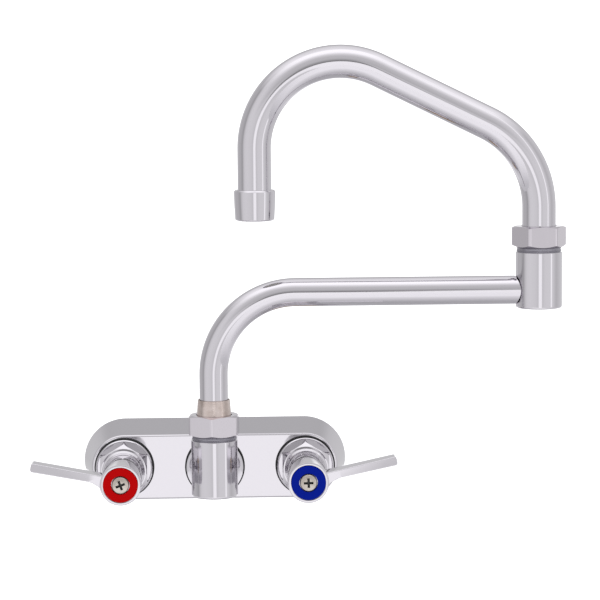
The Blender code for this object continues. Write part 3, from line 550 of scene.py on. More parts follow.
def nut_blank(corner, foot, top, bore, lip_bore=None, lip=0.0, cuts=(1.3, 0.9)):
    """Turned blank of a nut: chamfered ends, and a bore with an inner lip where the nut has one."""
    flat = corner * math.cos(math.pi / 6)
    outside = [(flat - 0.3, top, 0.3), (corner, top - cuts[1], 0.2), (corner, foot + cuts[0], 0.2),
               (flat - 0.3, foot, 0.3)]
    inside = [(bore, foot, 0.3), (bore, top, 0.3)]
    if lip_bore:
        inside = [(bore, foot, 0.3), (bore, top - lip, 0.2), (lip_bore, top - lip, 0.1),
                  (lip_bore, top, 0.25)]
    return spun(outside + inside, 144)


def swivel_nut(node, axis, turn, lip_bore):
    blank = nut_blank(NUT_CORNER, low(node).z, high(node).z, NUT_BORE, lip_bore, NUT_LIP)
    bm = upright(milled(blank, NUT_FLAT, turn, NUT_ROUND), axis)
    return piece(node + "_milled", bm, TUMBLED_CHROME, [node], sharp=24.0)


swivel_nut("base_swivel_nut", ARM_AXIS, turn=-5.0, lip_bore=9.9)
swivel_nut("elbow_swivel_nut", SPOUT_AXIS, turn=-27.0, lip_bore=9.6)

# %% [markdown]
# ## Swivel stems
# Each joint turns on a brass stem: a shoulder trapped under the nut, and below it a spigot with two
# O-rings in grooves, inside the socket's bore. The arm's stem shows above its nut as a bare collar,
# and its tube is brazed into the top. The spout's stem goes up inside the larger tube, out of sight.

# %% Swivel stems, seals and thrust washers
STEM_R, STEM_BORE, SHOULDER_R, SHOULDER_THICK, SHOULDER_GAP = 8.0, 5.0, 11.0, 1.6, 0.3
GROOVE_R, GROOVE_HALF, O_RING_R, O_RING_SECTION = 6.25, 1.15, 7.4, 0.9
COLLAR_R, COLLAR_TOP_R, MOUTH_R, MOUTH_DEEP = 9.5, 8.85, 8.3, 0.9
SPOUT_SPIGOT_R, ARM_TUBE_R, BRAZE_GAP = 7.6, 7.85, 0.12
THRUST_R, THRUST_BORE = 11.2, 8.4


def ring_heights(nut):
    """The heights of the two O-rings of the joint below a nut."""
    return low(nut).z - 2.0, low(nut).z - 8.0


def shoulder_heights(nut):
    top = high(nut).z - NUT_LIP - SHOULDER_GAP
    return top - SHOULDER_THICK, top


def stem_foot(nut, foot):
    outline = [(SHOULDER_R, shoulder_heights(nut)[0], 0.2), (STEM_R, shoulder_heights(nut)[0], 0.3)]
    for height in ring_heights(nut):
        outline += [(STEM_R, height + GROOVE_HALF, 0.1), (GROOVE_R, height + GROOVE_HALF, 0.15),
                    (GROOVE_R, height - GROOVE_HALF, 0.15), (STEM_R, height - GROOVE_HALF, 0.1)]
    return outline + [(STEM_R, foot + 1.0, 0.2), (STEM_R - 1.0, foot, 0.2), (STEM_BORE, foot, 0.3)]


def arm_stem():
    nut, top = "base_swivel_nut", high("arm_swivel_stem").z
    socket_r, socket_floor, mouth = ARM_TUBE_R + BRAZE_GAP, low("lower_arm_tube").z - 0.3, top - MOUTH_DEEP
    return [(MOUTH_R, top, 0.1), (COLLAR_TOP_R, top, 0.2), (COLLAR_R, high(nut).z - 0.4, 0.3),
            (COLLAR_R, shoulder_heights(nut)[1], 0), (SHOULDER_R, shoulder_heights(nut)[1], 0.2),
            *stem_foot(nut, low("arm_swivel_stem").z), (STEM_BORE, socket_floor, 0.3),
            (socket_r, socket_floor, 0), (socket_r, mouth, 0.1), (MOUTH_R, mouth, 0.1)]


def spout_stem():
    nut, top = "elbow_swivel_nut", high("spout_swivel_stem").z
    shoulder = shoulder_heights(nut)[1]
    return [(STEM_BORE, top, 0.2), (SPOUT_SPIGOT_R, top, 0.5), (SPOUT_SPIGOT_R, shoulder, 0.2),
            (SHOULDER_R, shoulder, 0.2), *stem_foot(nut, low("spout_swivel_stem").z)]


piece("arm_stem_turned", upright(spun(arm_stem()), ARM_AXIS), DULLED_BRASS, ["arm_swivel_stem"])
piece("spout_stem_turned", upright(spun(spout_stem(), 96), SPOUT_AXIS), DULLED_BRASS, ["spout_swivel_stem"])


def o_ring(name, node, matrix, major, minor, height):
    turns = [math.tau * i / 16 for i in range(16)]
    bm = spun([(major + minor * math.cos(a), height - minor * math.sin(a), 0) for a in turns], 64)
    bm.transform(matrix)
    return piece(name, bm, NITRILE, [node], sharp=180.0)


for joint, nut, axis in (("arm", "base_swivel_nut", ARM_AXIS), ("spout", "elbow_swivel_nut", SPOUT_AXIS)):
    place = Matrix.Translation((axis.x, axis.y, 0))
    for which, height in zip(("upper", "lower"), ring_heights(nut)):
        o_ring("%s_%s_o_ring" % (joint, which), "%s_oring_%s" % (joint, which), place,
               O_RING_R, O_RING_SECTION, height)
    node = joint + "_thrust_washer"
    washer = [(THRUST_R, high(node).z, 0.15), (THRUST_R, low(node).z, 0.15), (THRUST_BORE, low(node).z, 0.1),
              (THRUST_BORE, high(node).z, 0.1)]
    piece(joint + "_thrust_washer_skived", upright(spun(washer, 96), axis), PTFE, [node])

# %% [markdown]
# ## Tubes
# A bent tube is a ring of points carried along its route. Straight runs are extruded, and each bend is
# a spin about the bend's own centre, which is how a tube bender makes it. The end of the arm tube is
# then notched to fit round the elbow, and Solidify gives both tubes their wall.

# %% Bent tubes
def tube_start(place, radius, segments=72):
    """An open ring of points about an upright axis, and the ring's edges."""
    bm = bmesh.new()
    bmesh.ops.create_circle(bm, cap_ends=False, segments=segments, radius=radius * MM,
                            matrix=Matrix.Translation(place))
    return bm, list(bm.edges)


def run(bm, ring, step, cuts=1):
    """Extrude the ring of edges along a straight step, in a few equal lengths."""
    for _ in range(cuts):
        made = bmesh.ops.extrude_edge_only(bm, edges=ring)["geom"]
        ring = [g for g in made if isinstance(g, bmesh.types.BMEdge)]
        bmesh.ops.translate(bm, verts=list({v for e in ring for v in e.verts}), vec=step / cuts)
    return ring


def bend(bm, ring, centre, degrees, steps):
    """Spin the ring of edges about a bend centre; positive turns from +Z towards +X."""
    made = bmesh.ops.spin(bm, geom=ring, cent=centre, axis=(0, 1, 0), angle=math.radians(degrees),
                          steps=steps, use_merge=False, use_duplicate=False)["geom_last"]
    return [g for g in made if isinstance(g, bmesh.types.BMEdge)]


def walled(obj, thickness):
    wall = obj.modifiers.new("tube_wall", "SOLIDIFY")
    wall.thickness = thickness * MM
    wall.offset = -1.0
    wall.use_even_offset = True
    obj.modifiers.move(len(obj.modifiers) - 1, 0)
    return obj


def outward(bm):
    bmesh.ops.remove_doubles(bm, verts=bm.verts, dist=SAME_PLACE)
    bmesh.ops.recalc_face_normals(bm, faces=bm.faces)
    return bm


# %% Lower arm tube
ARM_Z = high("lower_arm_tube").z - ARM_TUBE_R
ARM_BEND, ARM_WALL, SADDLE_GAP = 45.0, 1.25, 0.55


def lower_arm_tube():
    """Up, a quarter bend, along to the elbow, and an end notched round the socket."""
    foot = low("lower_arm_tube").z
    bm, ring = tube_start((ARM_AXIS.x, ARM_AXIS.y, foot * MM), ARM_TUBE_R)
    ring = run(bm, ring, Vector((0, 0, ARM_Z - ARM_BEND - foot)) * MM)
    ring = bend(bm, ring, (ARM_BEND * MM, ARM_AXIS.y, (ARM_Z - ARM_BEND) * MM), 90.0, 48)
    ring = run(bm, ring, Vector((SPOUT_AXIS.x - ARM_BEND * MM, 0, 0)))
    for vert in {v for e in ring for v in e.verts}:
        across = vert.co.y - SPOUT_AXIS.y
        vert.co.x = SPOUT_AXIS.x - math.sqrt(((SWIVEL_R + SADDLE_GAP) * MM) ** 2 - across ** 2)
    return outward(bm)


walled(piece("lower_arm_tube_bent", lower_arm_tube(), TUBE_CHROME, ["lower_arm_tube"]), ARM_WALL)

# %% Upper spout tube
OUTLET_X = (low("aerator_housing").x + high("aerator_housing").x) / 2
LOW_BEND, HIGH_BEND, SPOUT_LOW_Z, SPOUT_HIGH_Z = 51.5, 46.8, 178.3, 254.7
SPOUT_TUBE_R, SPOUT_WALL, SPOUT_END_Z = 9.2, 1.3, 150.9


def upper_spout_tube():
    """Up from the elbow, a first bend to the left, a slope, and a second bend straight down."""
    foot, x = low("upper_spout_tube").z, SPOUT_AXIS.x / MM
    slope = math.degrees(math.atan2(SPOUT_HIGH_Z - SPOUT_LOW_Z, x - OUTLET_X))
    first, second = 90.0 - slope, 90.0 + slope
    back_first = LOW_BEND * math.tan(math.radians(first / 2))
    back_second = HIGH_BEND * math.tan(math.radians(second / 2))
    length = math.hypot(SPOUT_HIGH_Z - SPOUT_LOW_Z, x - OUTLET_X) - back_first - back_second
    bm, ring = tube_start((SPOUT_AXIS.x, SPOUT_AXIS.y, foot * MM), SPOUT_TUBE_R)
    ring = run(bm, ring, Vector((0, 0, SPOUT_LOW_Z - back_first - foot)) * MM)
    centre = Vector(((x - LOW_BEND) * MM, SPOUT_AXIS.y, (SPOUT_LOW_Z - back_first) * MM))
    ring = bend(bm, ring, centre, -first, 36)
    along = Vector((-math.cos(math.radians(slope)), 0, math.sin(math.radians(slope))))
    ring = run(bm, ring, along * length * MM, 3)
    centre = Vector(((OUTLET_X + HIGH_BEND) * MM, SPOUT_AXIS.y, (SPOUT_HIGH_Z - back_second) * MM))
    ring = bend(bm, ring, centre, -second, 60)
    run(bm, ring, Vector((0, 0, SPOUT_END_Z - (SPOUT_HIGH_Z - back_second))) * MM)
    return outward(bm)


walled(piece("upper_spout_tube_bent", upper_spout_tube(), TUBE_CHROME, ["upper_spout_tube"]), SPOUT_WALL)

# %% [markdown]
# ## Elbow socket
# The elbow is the same socket as the base, closed below and with a port in its side for the arm tube.

# %% Elbow socket
PORT_R, PORT_REACH = 5.0, 20.0


def elbow_socket():
    foot, top = low("elbow_socket").z, high("elbow_socket").z
    shell = upright(spun(socket_outline(foot, ELBOW_SHOULDER, top, foot + FLOOR_THICK)), SPOUT_AXIS)
    port = spun(drill(PORT_R, 0, PORT_REACH), 48)
    towards_arm = Matrix.Rotation(-math.pi / 2, 4, "Y")
    port.transform(Matrix.Translation((SPOUT_AXIS.x, SPOUT_AXIS.y, ARM_Z * MM)) @ towards_arm)
    return combined("elbow_port", "DIFFERENCE", shell, port)


piece("elbow_socket_turned", elbow_socket(), BUFFED_CHROME, ["elbow_socket"])

# %% [markdown]
# ## Outlet
# The aerator housing screws onto the end of the spout. Inside it are a flat washer and a moulded disc
# of small passages, which straightens the stream. The disc only shows from below.

# %% Aerator housing, washer and flow straightener
OUTLET_AXIS = Vector((OUTLET_X * MM, SPOUT_AXIS.y, 0))
STRAIGHTENER_R, PASSAGE_R, PASSAGE_LONG, PASSAGE_RINGS = 9.0, 1.05, 14, ((3.2, 6), (6.2, 12))
OUTLET_WASHER_R, OUTLET_WASHER_BORE = 9.1, 6.8


def housing_outline():
    top, foot = high("aerator_housing").z, low("aerator_housing").z
    return [(9.4, top, 0.15), (10.8, top, 0.35), (11.4, top - 0.9, 0.4), (11.15, top - 9.0, 1.0),
            (10.75, foot + 0.7, 0.5), (10.1, foot, 0.35), (8.2, foot, 0.25), (8.2, foot + 1.3, 0.1),
            (9.4, foot + 1.3, 0)]


def aerator_washer():
    top, foot = high("aerator_washer").z, low("aerator_washer").z
    return [(OUTLET_WASHER_R, top, 0.15), (OUTLET_WASHER_R, foot, 0.15), (OUTLET_WASHER_BORE, foot, 0.15),
            (OUTLET_WASHER_BORE, top, 0.15)]


def flow_straightener():
    """A disc with a middle passage and two rings of passages round it."""
    top, foot = high("flow_straightener").z, low("flow_straightener").z
    disc = spun([(0, top, 0), (STRAIGHTENER_R, top, 0.3), (STRAIGHTENER_R, foot, 0.3), (0, foot, 0)], 96)
    places = [(0.0, 0.0)]
    for radius, count in PASSAGE_RINGS:
        places += [(radius * math.cos(math.tau * i / count), radius * math.sin(math.tau * i / count))
                   for i in range(count)]
    drills = bmesh.new()
    for x, y in places:
        bmesh.ops.create_cone(drills, cap_ends=True, segments=24, radius1=PASSAGE_R * MM,
                              radius2=PASSAGE_R * MM, depth=PASSAGE_LONG * MM,
                              matrix=Matrix.Translation(OUTLET_AXIS + Vector((x, y, foot)) * MM))
    return combined("straightener", "DIFFERENCE", upright(disc, OUTLET_AXIS), drills)


piece("aerator_housing_turned", upright(spun(housing_outline()), OUTLET_AXIS), BUFFED_CHROME,
      ["aerator_housing"])
piece("aerator_washer_flat", upright(spun(aerator_washer(), 96), OUTLET_AXIS), NITRILE, ["aerator_washer"])
piece("flow_straightener_moulded", flow_straightener(), ACETAL, ["flow_straightener"])

# %% [markdown]
# ## Valves
# Each bonnet is turned from hex bar: a round flange that seats on a thin gasket, the hex, a small
# shoulder and the barrel that the lever's hub rides above. The hexagon is milled out of a blank and
# joined to the turned flange and barrel. Both valves are the same, so one loop makes both.

# %% Bonnets and their gaskets
BARREL_R, BONNET_COLLAR_R, BONNET_FLANGE_R, BONNET_SPIGOT_R = 10.75, 11.9, 16.0, 10.2
HEX_R, HEX_FLAT, HEX_FRONT, BONNET_BACK = 15.1, 13.0, 41.6, 24.5
STEM_HOLE_R, LAND_HOLE_R, MOUTH_HOLE_R = 5.0, 6.7, 8.4
PACKING_R, PACKING_SECTION, PACKING_OUT = 5.8, 0.85, 59.7
GASKET_EDGE_R, GASKET_GAP = 16.8, 0.05


def bonnet(side):
    """Heights are distances in front of the wall."""
    flange, top, hidden = FACE + 1.2, -low(side + "_bonnet").y, 31.0
    turned = spun([(0, top, 0), (BARREL_R, top, 0.5), (BARREL_R, 44.4, 0.5), (BONNET_COLLAR_R, 43.6, 0.6),
                   (BONNET_COLLAR_R, hidden, 0), (14.9, hidden, 0), (15.2, 32.5, 0.3),
                   (BONNET_FLANGE_R, 31.6, 0.35), (BONNET_FLANGE_R, flange, 0.25),
                   (BONNET_SPIGOT_R, flange, 0.1),
                   (BONNET_SPIGOT_R, BONNET_BACK, 0.3), (0, BONNET_BACK, 0)])
    blank = spun([(0, HEX_FRONT, 0), (12.6, HEX_FRONT, 0.5), (HEX_R, 39.7, 0.4), (HEX_R, 30.8, 0),
                  (0, 30.8, 0)], 144)
    whole = combined(side + "_bonnet_whole", "UNION", turned, milled(blank, HEX_FLAT))
    bore = spun([(0, top + PAST, 0), (STEM_HOLE_R, top + PAST, 0), (STEM_HOLE_R, 47.2, 0),
                 (LAND_HOLE_R, 47.2, 0), (LAND_HOLE_R, 28.0, 0), (MOUTH_HOLE_R, 27.0, 0),
                 (MOUTH_HOLE_R, BONNET_BACK - PAST, 0),
                 (0, BONNET_BACK - PAST, 0)], 64)
    return combined(side + "_bonnet_bored", "DIFFERENCE", whole, bore)


def face_gasket(bore, thick):
    back, front = FACE + GASKET_GAP, FACE + thick
    return spun([(GASKET_EDGE_R, front, 0.15), (GASKET_EDGE_R, back, 0.15), (bore, back, 0),
                 (bore, front, 0)], 96)


for side, axis in VALVES.items():
    piece(side + "_bonnet_turned", facing_out(bonnet(side), axis.x), BUFFED_CHROME, [side + "_bonnet"],
          sharp=24.0)
    piece(side + "_bonnet_gasket_cut", facing_out(face_gasket(11.0, 1.15), axis.x), NITRILE,
          [side + "_bonnet_gasket"])
    o_ring(side + "_packing_o_ring", side + "_packing_ring",
           Matrix.Translation((axis.x, 0, 0)) @ OUT_OF_WALL, PACKING_R, PACKING_SECTION, PACKING_OUT)

piece("outlet_gasket_cut", facing_out(face_gasket(9.7, 1.35)), NITRILE, ["outlet_gasket"])

# %% [markdown]
# ## Levers
# A lever is one casting: a hub over the stem, a flat blade, and a web under the blade that flares into
# the hub. The blade starts as its front outline, extruded to its width. It is flat as far as the foot of
# the web, and from there its front face leans back towards the tip, so it is cut across at that line
# and the points beyond it are moved back. The edges are rounded before the hub is joined on. The cold
# lever is the hot one mirrored, and it lies a little steeper.

# %% Levers
BLADE_LENGTH, BLADE_TOP, BLADE_BOTTOM, TIP_ROUND, BLADE_EDGE = 49.4, 3.2, -1.4, 1.3, 0.45
BLADE_FRONT, BLADE_BACK, BLADE_LEAN = 84.5, 73.4, 1.8
ROOT_START, ROOT_END, WEB_R, WEB_FOOT = 4.0, 17.8, 16.0, -9.5
HUB_R, HUB_BACK, HUB_RECESS_R, HUB_RECESS_FLOOR = 11.15, 68.6, 9.75, 83.4
SPLINE_R, SPLINE_FLOOR, SCREW_HOLE_R = 4.3, 79.9, 2.4
RAISE = {"hot": 10.6, "cold": 12.0}


def arc(centre, radius, start, end, steps):
    angles = [math.radians(start + (end - start) * i / steps) for i in range(steps + 1)]
    return [(centre[0] + radius * math.cos(a), centre[1] + radius * math.sin(a)) for a in angles]


def blade_outline():
    """Seen from the front, pointing right: top edge, round tip, bottom edge and the web."""
    outline = [(ROOT_START, BLADE_TOP - 0.1)]
    outline += arc((BLADE_LENGTH - TIP_ROUND, BLADE_TOP - TIP_ROUND + 0.1), TIP_ROUND, 85, 0, 3)
    outline += arc((BLADE_LENGTH - TIP_ROUND, BLADE_BOTTOM + TIP_ROUND - 0.2), TIP_ROUND, 0, -85, 3)
    web_centre = (ROOT_END + WEB_R * math.sin(math.radians(3)), BLADE_BOTTOM - WEB_R + 0.2)
    return outline + arc(web_centre, WEB_R, 93, 132, 10) + [(ROOT_START, WEB_FOOT)]


def blade():
    bm = bmesh.new()
    face = bm.faces.new([bm.verts.new((x * MM, y * MM, BLADE_BACK * MM)) for x, y in blade_outline()])
    lifted = bmesh.ops.extrude_face_region(bm, geom=[face])["geom"]
    bmesh.ops.translate(bm, verts=[g for g in lifted if isinstance(g, bmesh.types.BMVert)],
                        vec=(0, 0, (BLADE_FRONT - BLADE_BACK) * MM))
    bmesh.ops.bisect_plane(bm, geom=everything(bm), plane_co=(ROOT_END * MM, 0, 0), plane_no=(1, 0, 0))
    closed(bm)
    for vert in bm.verts:
        outside = max(0.0, vert.co.x / MM - ROOT_END) / (BLADE_LENGTH - ROOT_END)
        if vert.co.z > (BLADE_FRONT - 0.1) * MM:
            vert.co.z -= BLADE_LEAN * outside * MM
    rim = [e for e in bm.edges if e.calc_face_angle(0.0) > math.radians(40)
           and max(v.co.x for v in e.verts) > (ROOT_START + 2) * MM]
    bmesh.ops.bevel(bm, geom=rim, offset=BLADE_EDGE * MM, offset_type="OFFSET", segments=3, profile=0.5,
                    affect="EDGES", material=-1, clamp_overlap=True)
    return closed(bm)


def lever(side):
    mirror, top = -1 if side == "hot" else 1, -low(side + "_lever").y
    hub = spun([(0, top, 0), (HUB_R, top, 0.7), (HUB_R, HUB_BACK, 0.6), (0, HUB_BACK, 0)], 144)
    arm = blade()
    raised = Matrix.Rotation(math.radians(mirror * RAISE[side]), 4, "Z")
    arm.transform(raised @ Matrix.Diagonal((mirror, 1, 1, 1)))
    bmesh.ops.recalc_face_normals(arm, faces=arm.faces)
    whole = combined(side + "_lever_whole", "UNION", hub, arm)
    bore = spun([(0, top + PAST, 0), (HUB_RECESS_R, top + PAST, 0), (HUB_RECESS_R, HUB_RECESS_FLOOR, 0),
                 (SCREW_HOLE_R, HUB_RECESS_FLOOR, 0), (SCREW_HOLE_R, SPLINE_FLOOR, 0),
                 (SPLINE_R, SPLINE_FLOOR, 0), (SPLINE_R, HUB_BACK - PAST, 0), (0, HUB_BACK - PAST, 0)], 144)
    return combined(side + "_lever_bored", "DIFFERENCE", whole, bore)


for side, axis in VALVES.items():
    piece(side + "_lever_cast", facing_out(lever(side), axis.x), BUFFED_CHROME, [side + "_lever"], sharp=28.0)

# %% [markdown]
# ## Index rings and handle screws
# The coloured ring drops into the hub's recess and the screw holds it. The screw has a low domed head
# with a cross recess, which is cut with two tapered bars. No two screws stop at the same angle.

# %% Index rings and screws
INDEX_R, INDEX_BORE, INDEX_FRONT, INDEX_BACK = 9.5, 5.0, 84.75, 83.6
SCREW_R, SCREW_HEAD_R, SCREW_BACK, HEAD_BACK = 1.9, 4.75, 71.0, 83.75
CROSS_FRONT, CROSS_DEEP, CROSS_STRETCH = 86.2, 2.2, 4.0
STOPPED_AT = {"hot": 20, "cold": 2}
INDEX_FINISH = {"hot": INDEX_RED, "cold": INDEX_BLUE}


def wedge(turn):
    """One bar of the cross, narrower at the bottom."""
    bm = bmesh.new()
    place = Matrix.Translation((0, 0, (CROSS_FRONT - CROSS_DEEP / 2) * MM)) @ Matrix.Rotation(turn, 4, "Z")
    long_bar = Matrix.Diagonal((CROSS_STRETCH, 1.0, 1.0, 1.0)) @ Matrix.Rotation(math.pi / 4, 4, "Z")
    bmesh.ops.create_cone(bm, cap_ends=True, segments=4, radius1=0.7 * MM, radius2=1.0 * MM,
                          depth=CROSS_DEEP * MM, matrix=place @ long_bar)
    return bm


def handle_screw():
    head = spun([(0, 85.75, 0), (2.4, 85.7, 1.0), (4.2, 85.4, 0.4), (SCREW_HEAD_R, 84.7, 0.3),
                 (SCREW_HEAD_R, HEAD_BACK, 0.1), (SCREW_R, HEAD_BACK, 0.2), (SCREW_R, SCREW_BACK, 0.4),
                 (0, SCREW_BACK, 0)], 96)
    return combined("screw", "DIFFERENCE", head, wedge(0.0), wedge(math.pi / 2))


for side, axis in VALVES.items():
    index = [(INDEX_R, INDEX_FRONT, 0.3), (INDEX_R, INDEX_BACK, 0.1), (INDEX_BORE, INDEX_BACK, 0.1),
             (INDEX_BORE, INDEX_FRONT, 0.3)]
    piece(side + "_index_ring_moulded", facing_out(spun(index, 128), axis.x), INDEX_FINISH[side],
          [side + "_index_ring"])
    screw = handle_screw()
    screw.transform(Matrix.Rotation(math.radians(STOPPED_AT[side]), 4, "Z"))
    piece(side + "_handle_screw_faced", facing_out(screw, axis.x), SCREW_STEEL, [side + "_handle_screw"])

# %% [markdown]
# ## Inlets behind the wall
# Each inlet is a threaded shank with a washer and a hex nut that clamp the panel. The thread is half
# inch pipe thread, 14 to the inch, drawn as plain ridges at the real pitch.

# %% Threaded shanks, washers and locknuts
THREAD_PITCH = 25.4 / 14
LOCKNUT_CORNER, LOCKNUT_FLAT, WASHER_R, SHANK_HOLE_R = 16.4, 14.28, 16.5, 11.05


def shank_outline(rear, front):
    """A ridged outside between two plain ends, and a bore."""
    outer, root, bore = 10.6, 9.75, 6.8
    outline = [(9.9, front, 0.2), (outer, front - 0.8, 0.2), (outer, -2.0, 0.2)]
    height = -2.6
    while height - THREAD_PITCH > rear + 0.8:
        outline += [(root, height, 0.1), (outer, height - 0.36 * THREAD_PITCH, 0.06),
                    (outer, height - 0.5 * THREAD_PITCH, 0.06)]
        height -= THREAD_PITCH
    return outline + [(root, height, 0.1), (root - 0.3, rear, 0.3), (bore, rear, 0.4), (bore, front, 0.3)]


def locknut(side):
    node = side + "_locknut"
    blank = nut_blank(LOCKNUT_CORNER, -high(node).y, -low(node).y, SHANK_HOLE_R, cuts=(1.0, 1.0))
    return milled(blank, LOCKNUT_FLAT)


for side, axis in VALVES.items():
    shank = spun(shank_outline(-high(side + "_inlet_shank").y, -low(side + "_inlet_shank").y), 96, 2)
    piece(side + "_shank_threaded", facing_out(shank, axis.x), RAW_BRASS, [side + "_inlet_shank"])
    piece(side + "_locknut_milled", facing_out(locknut(side), axis.x), RAW_BRASS, [side + "_locknut"],
          sharp=24.0)
    node = side + "_lock_washer"
    front, back = -low(node).y, -high(node).y
    washer = [(WASHER_R, front, 0.2), (WASHER_R, back, 0.2), (SHANK_HOLE_R, back, 0.2),
              (SHANK_HOLE_R, front, 0.2)]
    piece(side + "_lock_washer_pressed", facing_out(spun(washer, 96), axis.x), ZINC_STEEL, [node])

# %% [markdown]
# ## Wall gasket and the pieces inside
# The gasket is a flat sheet with rounded ends and two holes. What sits inside the valves never shows
# unless the faucet is taken apart, so those nodes keep their own shape and only get a real finish.

# %% Wall gasket
WALL_GASKET_R, WALL_GASKET_HOLE_R, WALL_GASKET_THICK = 22.8, 11.25, 1.5


def wall_gasket():
    bm = bmesh.new()
    ends = arc((VALVE_X, 0), WALL_GASKET_R, -90, 90, 48) + arc((-VALVE_X, 0), WALL_GASKET_R, 90, 270, 48)
    outer = [bm.verts.new((x * MM, y * MM, 0)) for x, y in ends]
    edges = [bm.edges.new(pair) for pair in zip(outer, outer[1:] + outer[:1])]
    for x in (-VALVE_X, VALVE_X):
        hole = bmesh.ops.create_circle(bm, cap_ends=False, segments=72, radius=WALL_GASKET_HOLE_R * MM,
                                       matrix=Matrix.Translation((x * MM, 0, 0)))
        edges += list({e for v in hole["verts"] for e in v.link_edges})
    sheet = bmesh.ops.triangle_fill(bm, edges=edges, use_beauty=True, normal=(0, 0, 1))
    faces = [g for g in sheet["geom"] if isinstance(g, bmesh.types.BMFace)]
    lifted = bmesh.ops.extrude_face_region(bm, geom=faces)["geom"]
    bmesh.ops.translate(bm, verts=[g for g in lifted if isinstance(g, bmesh.types.BMVert)],
                        vec=(0, 0, WALL_GASKET_THICK * MM))
    return closed(bm)


piece("wall_gasket_cut", facing_out(wall_gasket()), NITRILE, ["wall_gasket"], bevel_mm=0.2)

# %% Finishes on the nodes that keep their shape
INSIDE = {"seat_ring": RAW_BRASS, "disc_holder": RAW_BRASS, "stem": RAW_BRASS, "seat_washer": NITRILE,
          "washer_screw": FACED_STAINLESS}
for side in VALVES:
    for name, material in INSIDE.items():
        node = NODES[side + "_" + name]
        for holder in node.material_slots:
            holder.material = material
print("inside the valves:", len(INSIDE) * len(VALVES), "nodes given a finish")

# %% [markdown]
# ## Studio
# Polished chrome has almost no colour of its own: what it shows is the room. So the light here is drawn
# as a room that the metal reflects: a bright strip straight ahead, grey to the sides, a dark band just
# above the horizon and a wide soft light overhead. It is painted by direction on the world, so that it
# is the same for every pose. An upright cylinder shows what lies round the horizon and a level tube
# shows what lies over the top, so each has its own row of greys, and the two fade into each other.

# %% The room
ROUND_THE_HORIZON = [(-180, "F4"), (-174.5, "F2"), (-171, "C6"), (-166, "B0"), (-157, "AA"), (-146, "B8"),
                     (-131, "A6"), (-114, "AA"), (-101, "A2"), (-88, "97"), (-80, "B6"), (-68, "C7"),
                     (-50, "CA"), (-24, "C6"), (-9, "BE"), (-6, "EA"), (7, "EA"), (10, "BE"), (24, "C8"),
                     (54, "CA"), (56, "F0"), (60, "F0"), (62, "CC"), (78, "BA"), (89, "AF"), (114, "BA"),
                     (131, "BD"), (157, "B0"), (166, "B4"), (169.5, "D0"), (171.4, "F2"), (180, "F4")]
OVER_THE_TOP = [(0, "7E"), (4, "72"), (8, "86"), (14, "9C"), (22, "B2"), (38, "B8"), (46, "C5"), (56, "DA"),
                (63, "F2"), (71, "FD"), (87, "FF"), (95, "E0"), (120, "D3"), (136, "BE"), (146, "A5"),
                (155, "A2"), (164, "AC"), (172, "AC"), (176.4, "AC"), (178.4, "F2"), (180, "F4")]
CHROME_SHARE = 0.60    # of the light that falls on the chrome, how much it gives back
SKYLIGHT = (1.45, 1.45, 1.46, 1.0)


def ramp(tree, angle, stops):
    """Grey levels by angle, in degrees. A grey is what the chrome shows, so the room is brighter."""
    angle = add(tree, "ShaderNodeMapRange", {"Value": angle, "From Min": math.radians(stops[0][0]),
                                             "From Max": math.radians(stops[-1][0])}).outputs["Result"]
    start, span = stops[0][0], stops[-1][0] - stops[0][0]
    made = add(tree, "ShaderNodeValToRGB", {"Fac": angle})
    made.color_ramp.interpolation = "LINEAR"
    while len(made.color_ramp.elements) < len(stops):
        made.color_ramp.elements.new(0.5)
    for element, (degrees, grey) in zip(made.color_ramp.elements, stops):
        element.position = (degrees - start) / span
    for element, (degrees, grey) in zip(made.color_ramp.elements, stops):
        level = colour("#" + grey * 3)[0] / CHROME_SHARE
        element.color = (level, level, level * 1.01, 1.0)
    return made.outputs["Color"]


room = bpy.data.worlds.new("studio_room")
bpy.context.scene.world = room
room.use_nodes = True
tree = room.node_tree
way = add(tree, "ShaderNodeSeparateXYZ", {"Vector": add(tree, "ShaderNodeTexCoord").outputs["Generated"]})
height = way.outputs["Z"]
ahead = add(tree, "ShaderNodeMath", {0: way.outputs["Y"], 1: -1.0}, operation="MULTIPLY").outputs[0]
upwards = add(tree, "ShaderNodeMath", {0: height}, operation="ABSOLUTE").outputs[0]
sideways = add(tree, "ShaderNodeMath", {0: way.outputs["X"]}, operation="ABSOLUTE").outputs[0]
round_angle = add(tree, "ShaderNodeMath", {0: way.outputs["X"], 1: ahead}, operation="ARCTAN2").outputs[0]
over_angle = add(tree, "ShaderNodeMath", {0: upwards, 1: ahead}, operation="ARCTAN2").outputs[0]


def fade(tree, value, start, end, first, second):
    """The first colour up to start, the second from end, and a blend between them."""
    share = add(tree, "ShaderNodeMapRange", {"Value": value, "From Min": start, "From Max": end})
    return add(tree, "ShaderNodeMix", {0: share.outputs["Result"], 6: first, 7: second},
               data_type="RGBA").outputs[2]


walls = ramp(tree, round_angle, ROUND_THE_HORIZON)
over = ramp(tree, over_angle, OVER_THE_TOP)
beside = fade(tree, sideways, 0.09, 0.18, over, walls)
ceiling = fade(tree, height, 0.34, 0.16, over, beside)
corners = fade(tree, height, 0.57, 0.90, walls, SKYLIGHT)
overhead = fade(tree, sideways, 0.30, 0.65, ceiling, corners)
tree.links.new(fade(tree, height, 0.016, 0.045, walls, overhead), tree.nodes["Background"].inputs["Color"])
print("room:", len(ROUND_THE_HORIZON), "levels round the horizon,", len(OVER_THE_TOP), "over the top")

# %% [markdown]
# ### Floor
# The floor is a pale disc with painted light. The underside of every tube reflects it, so its emission is
# dim below the faucet, a painted shadow, and glows further out, in front and behind, and less to the sides.

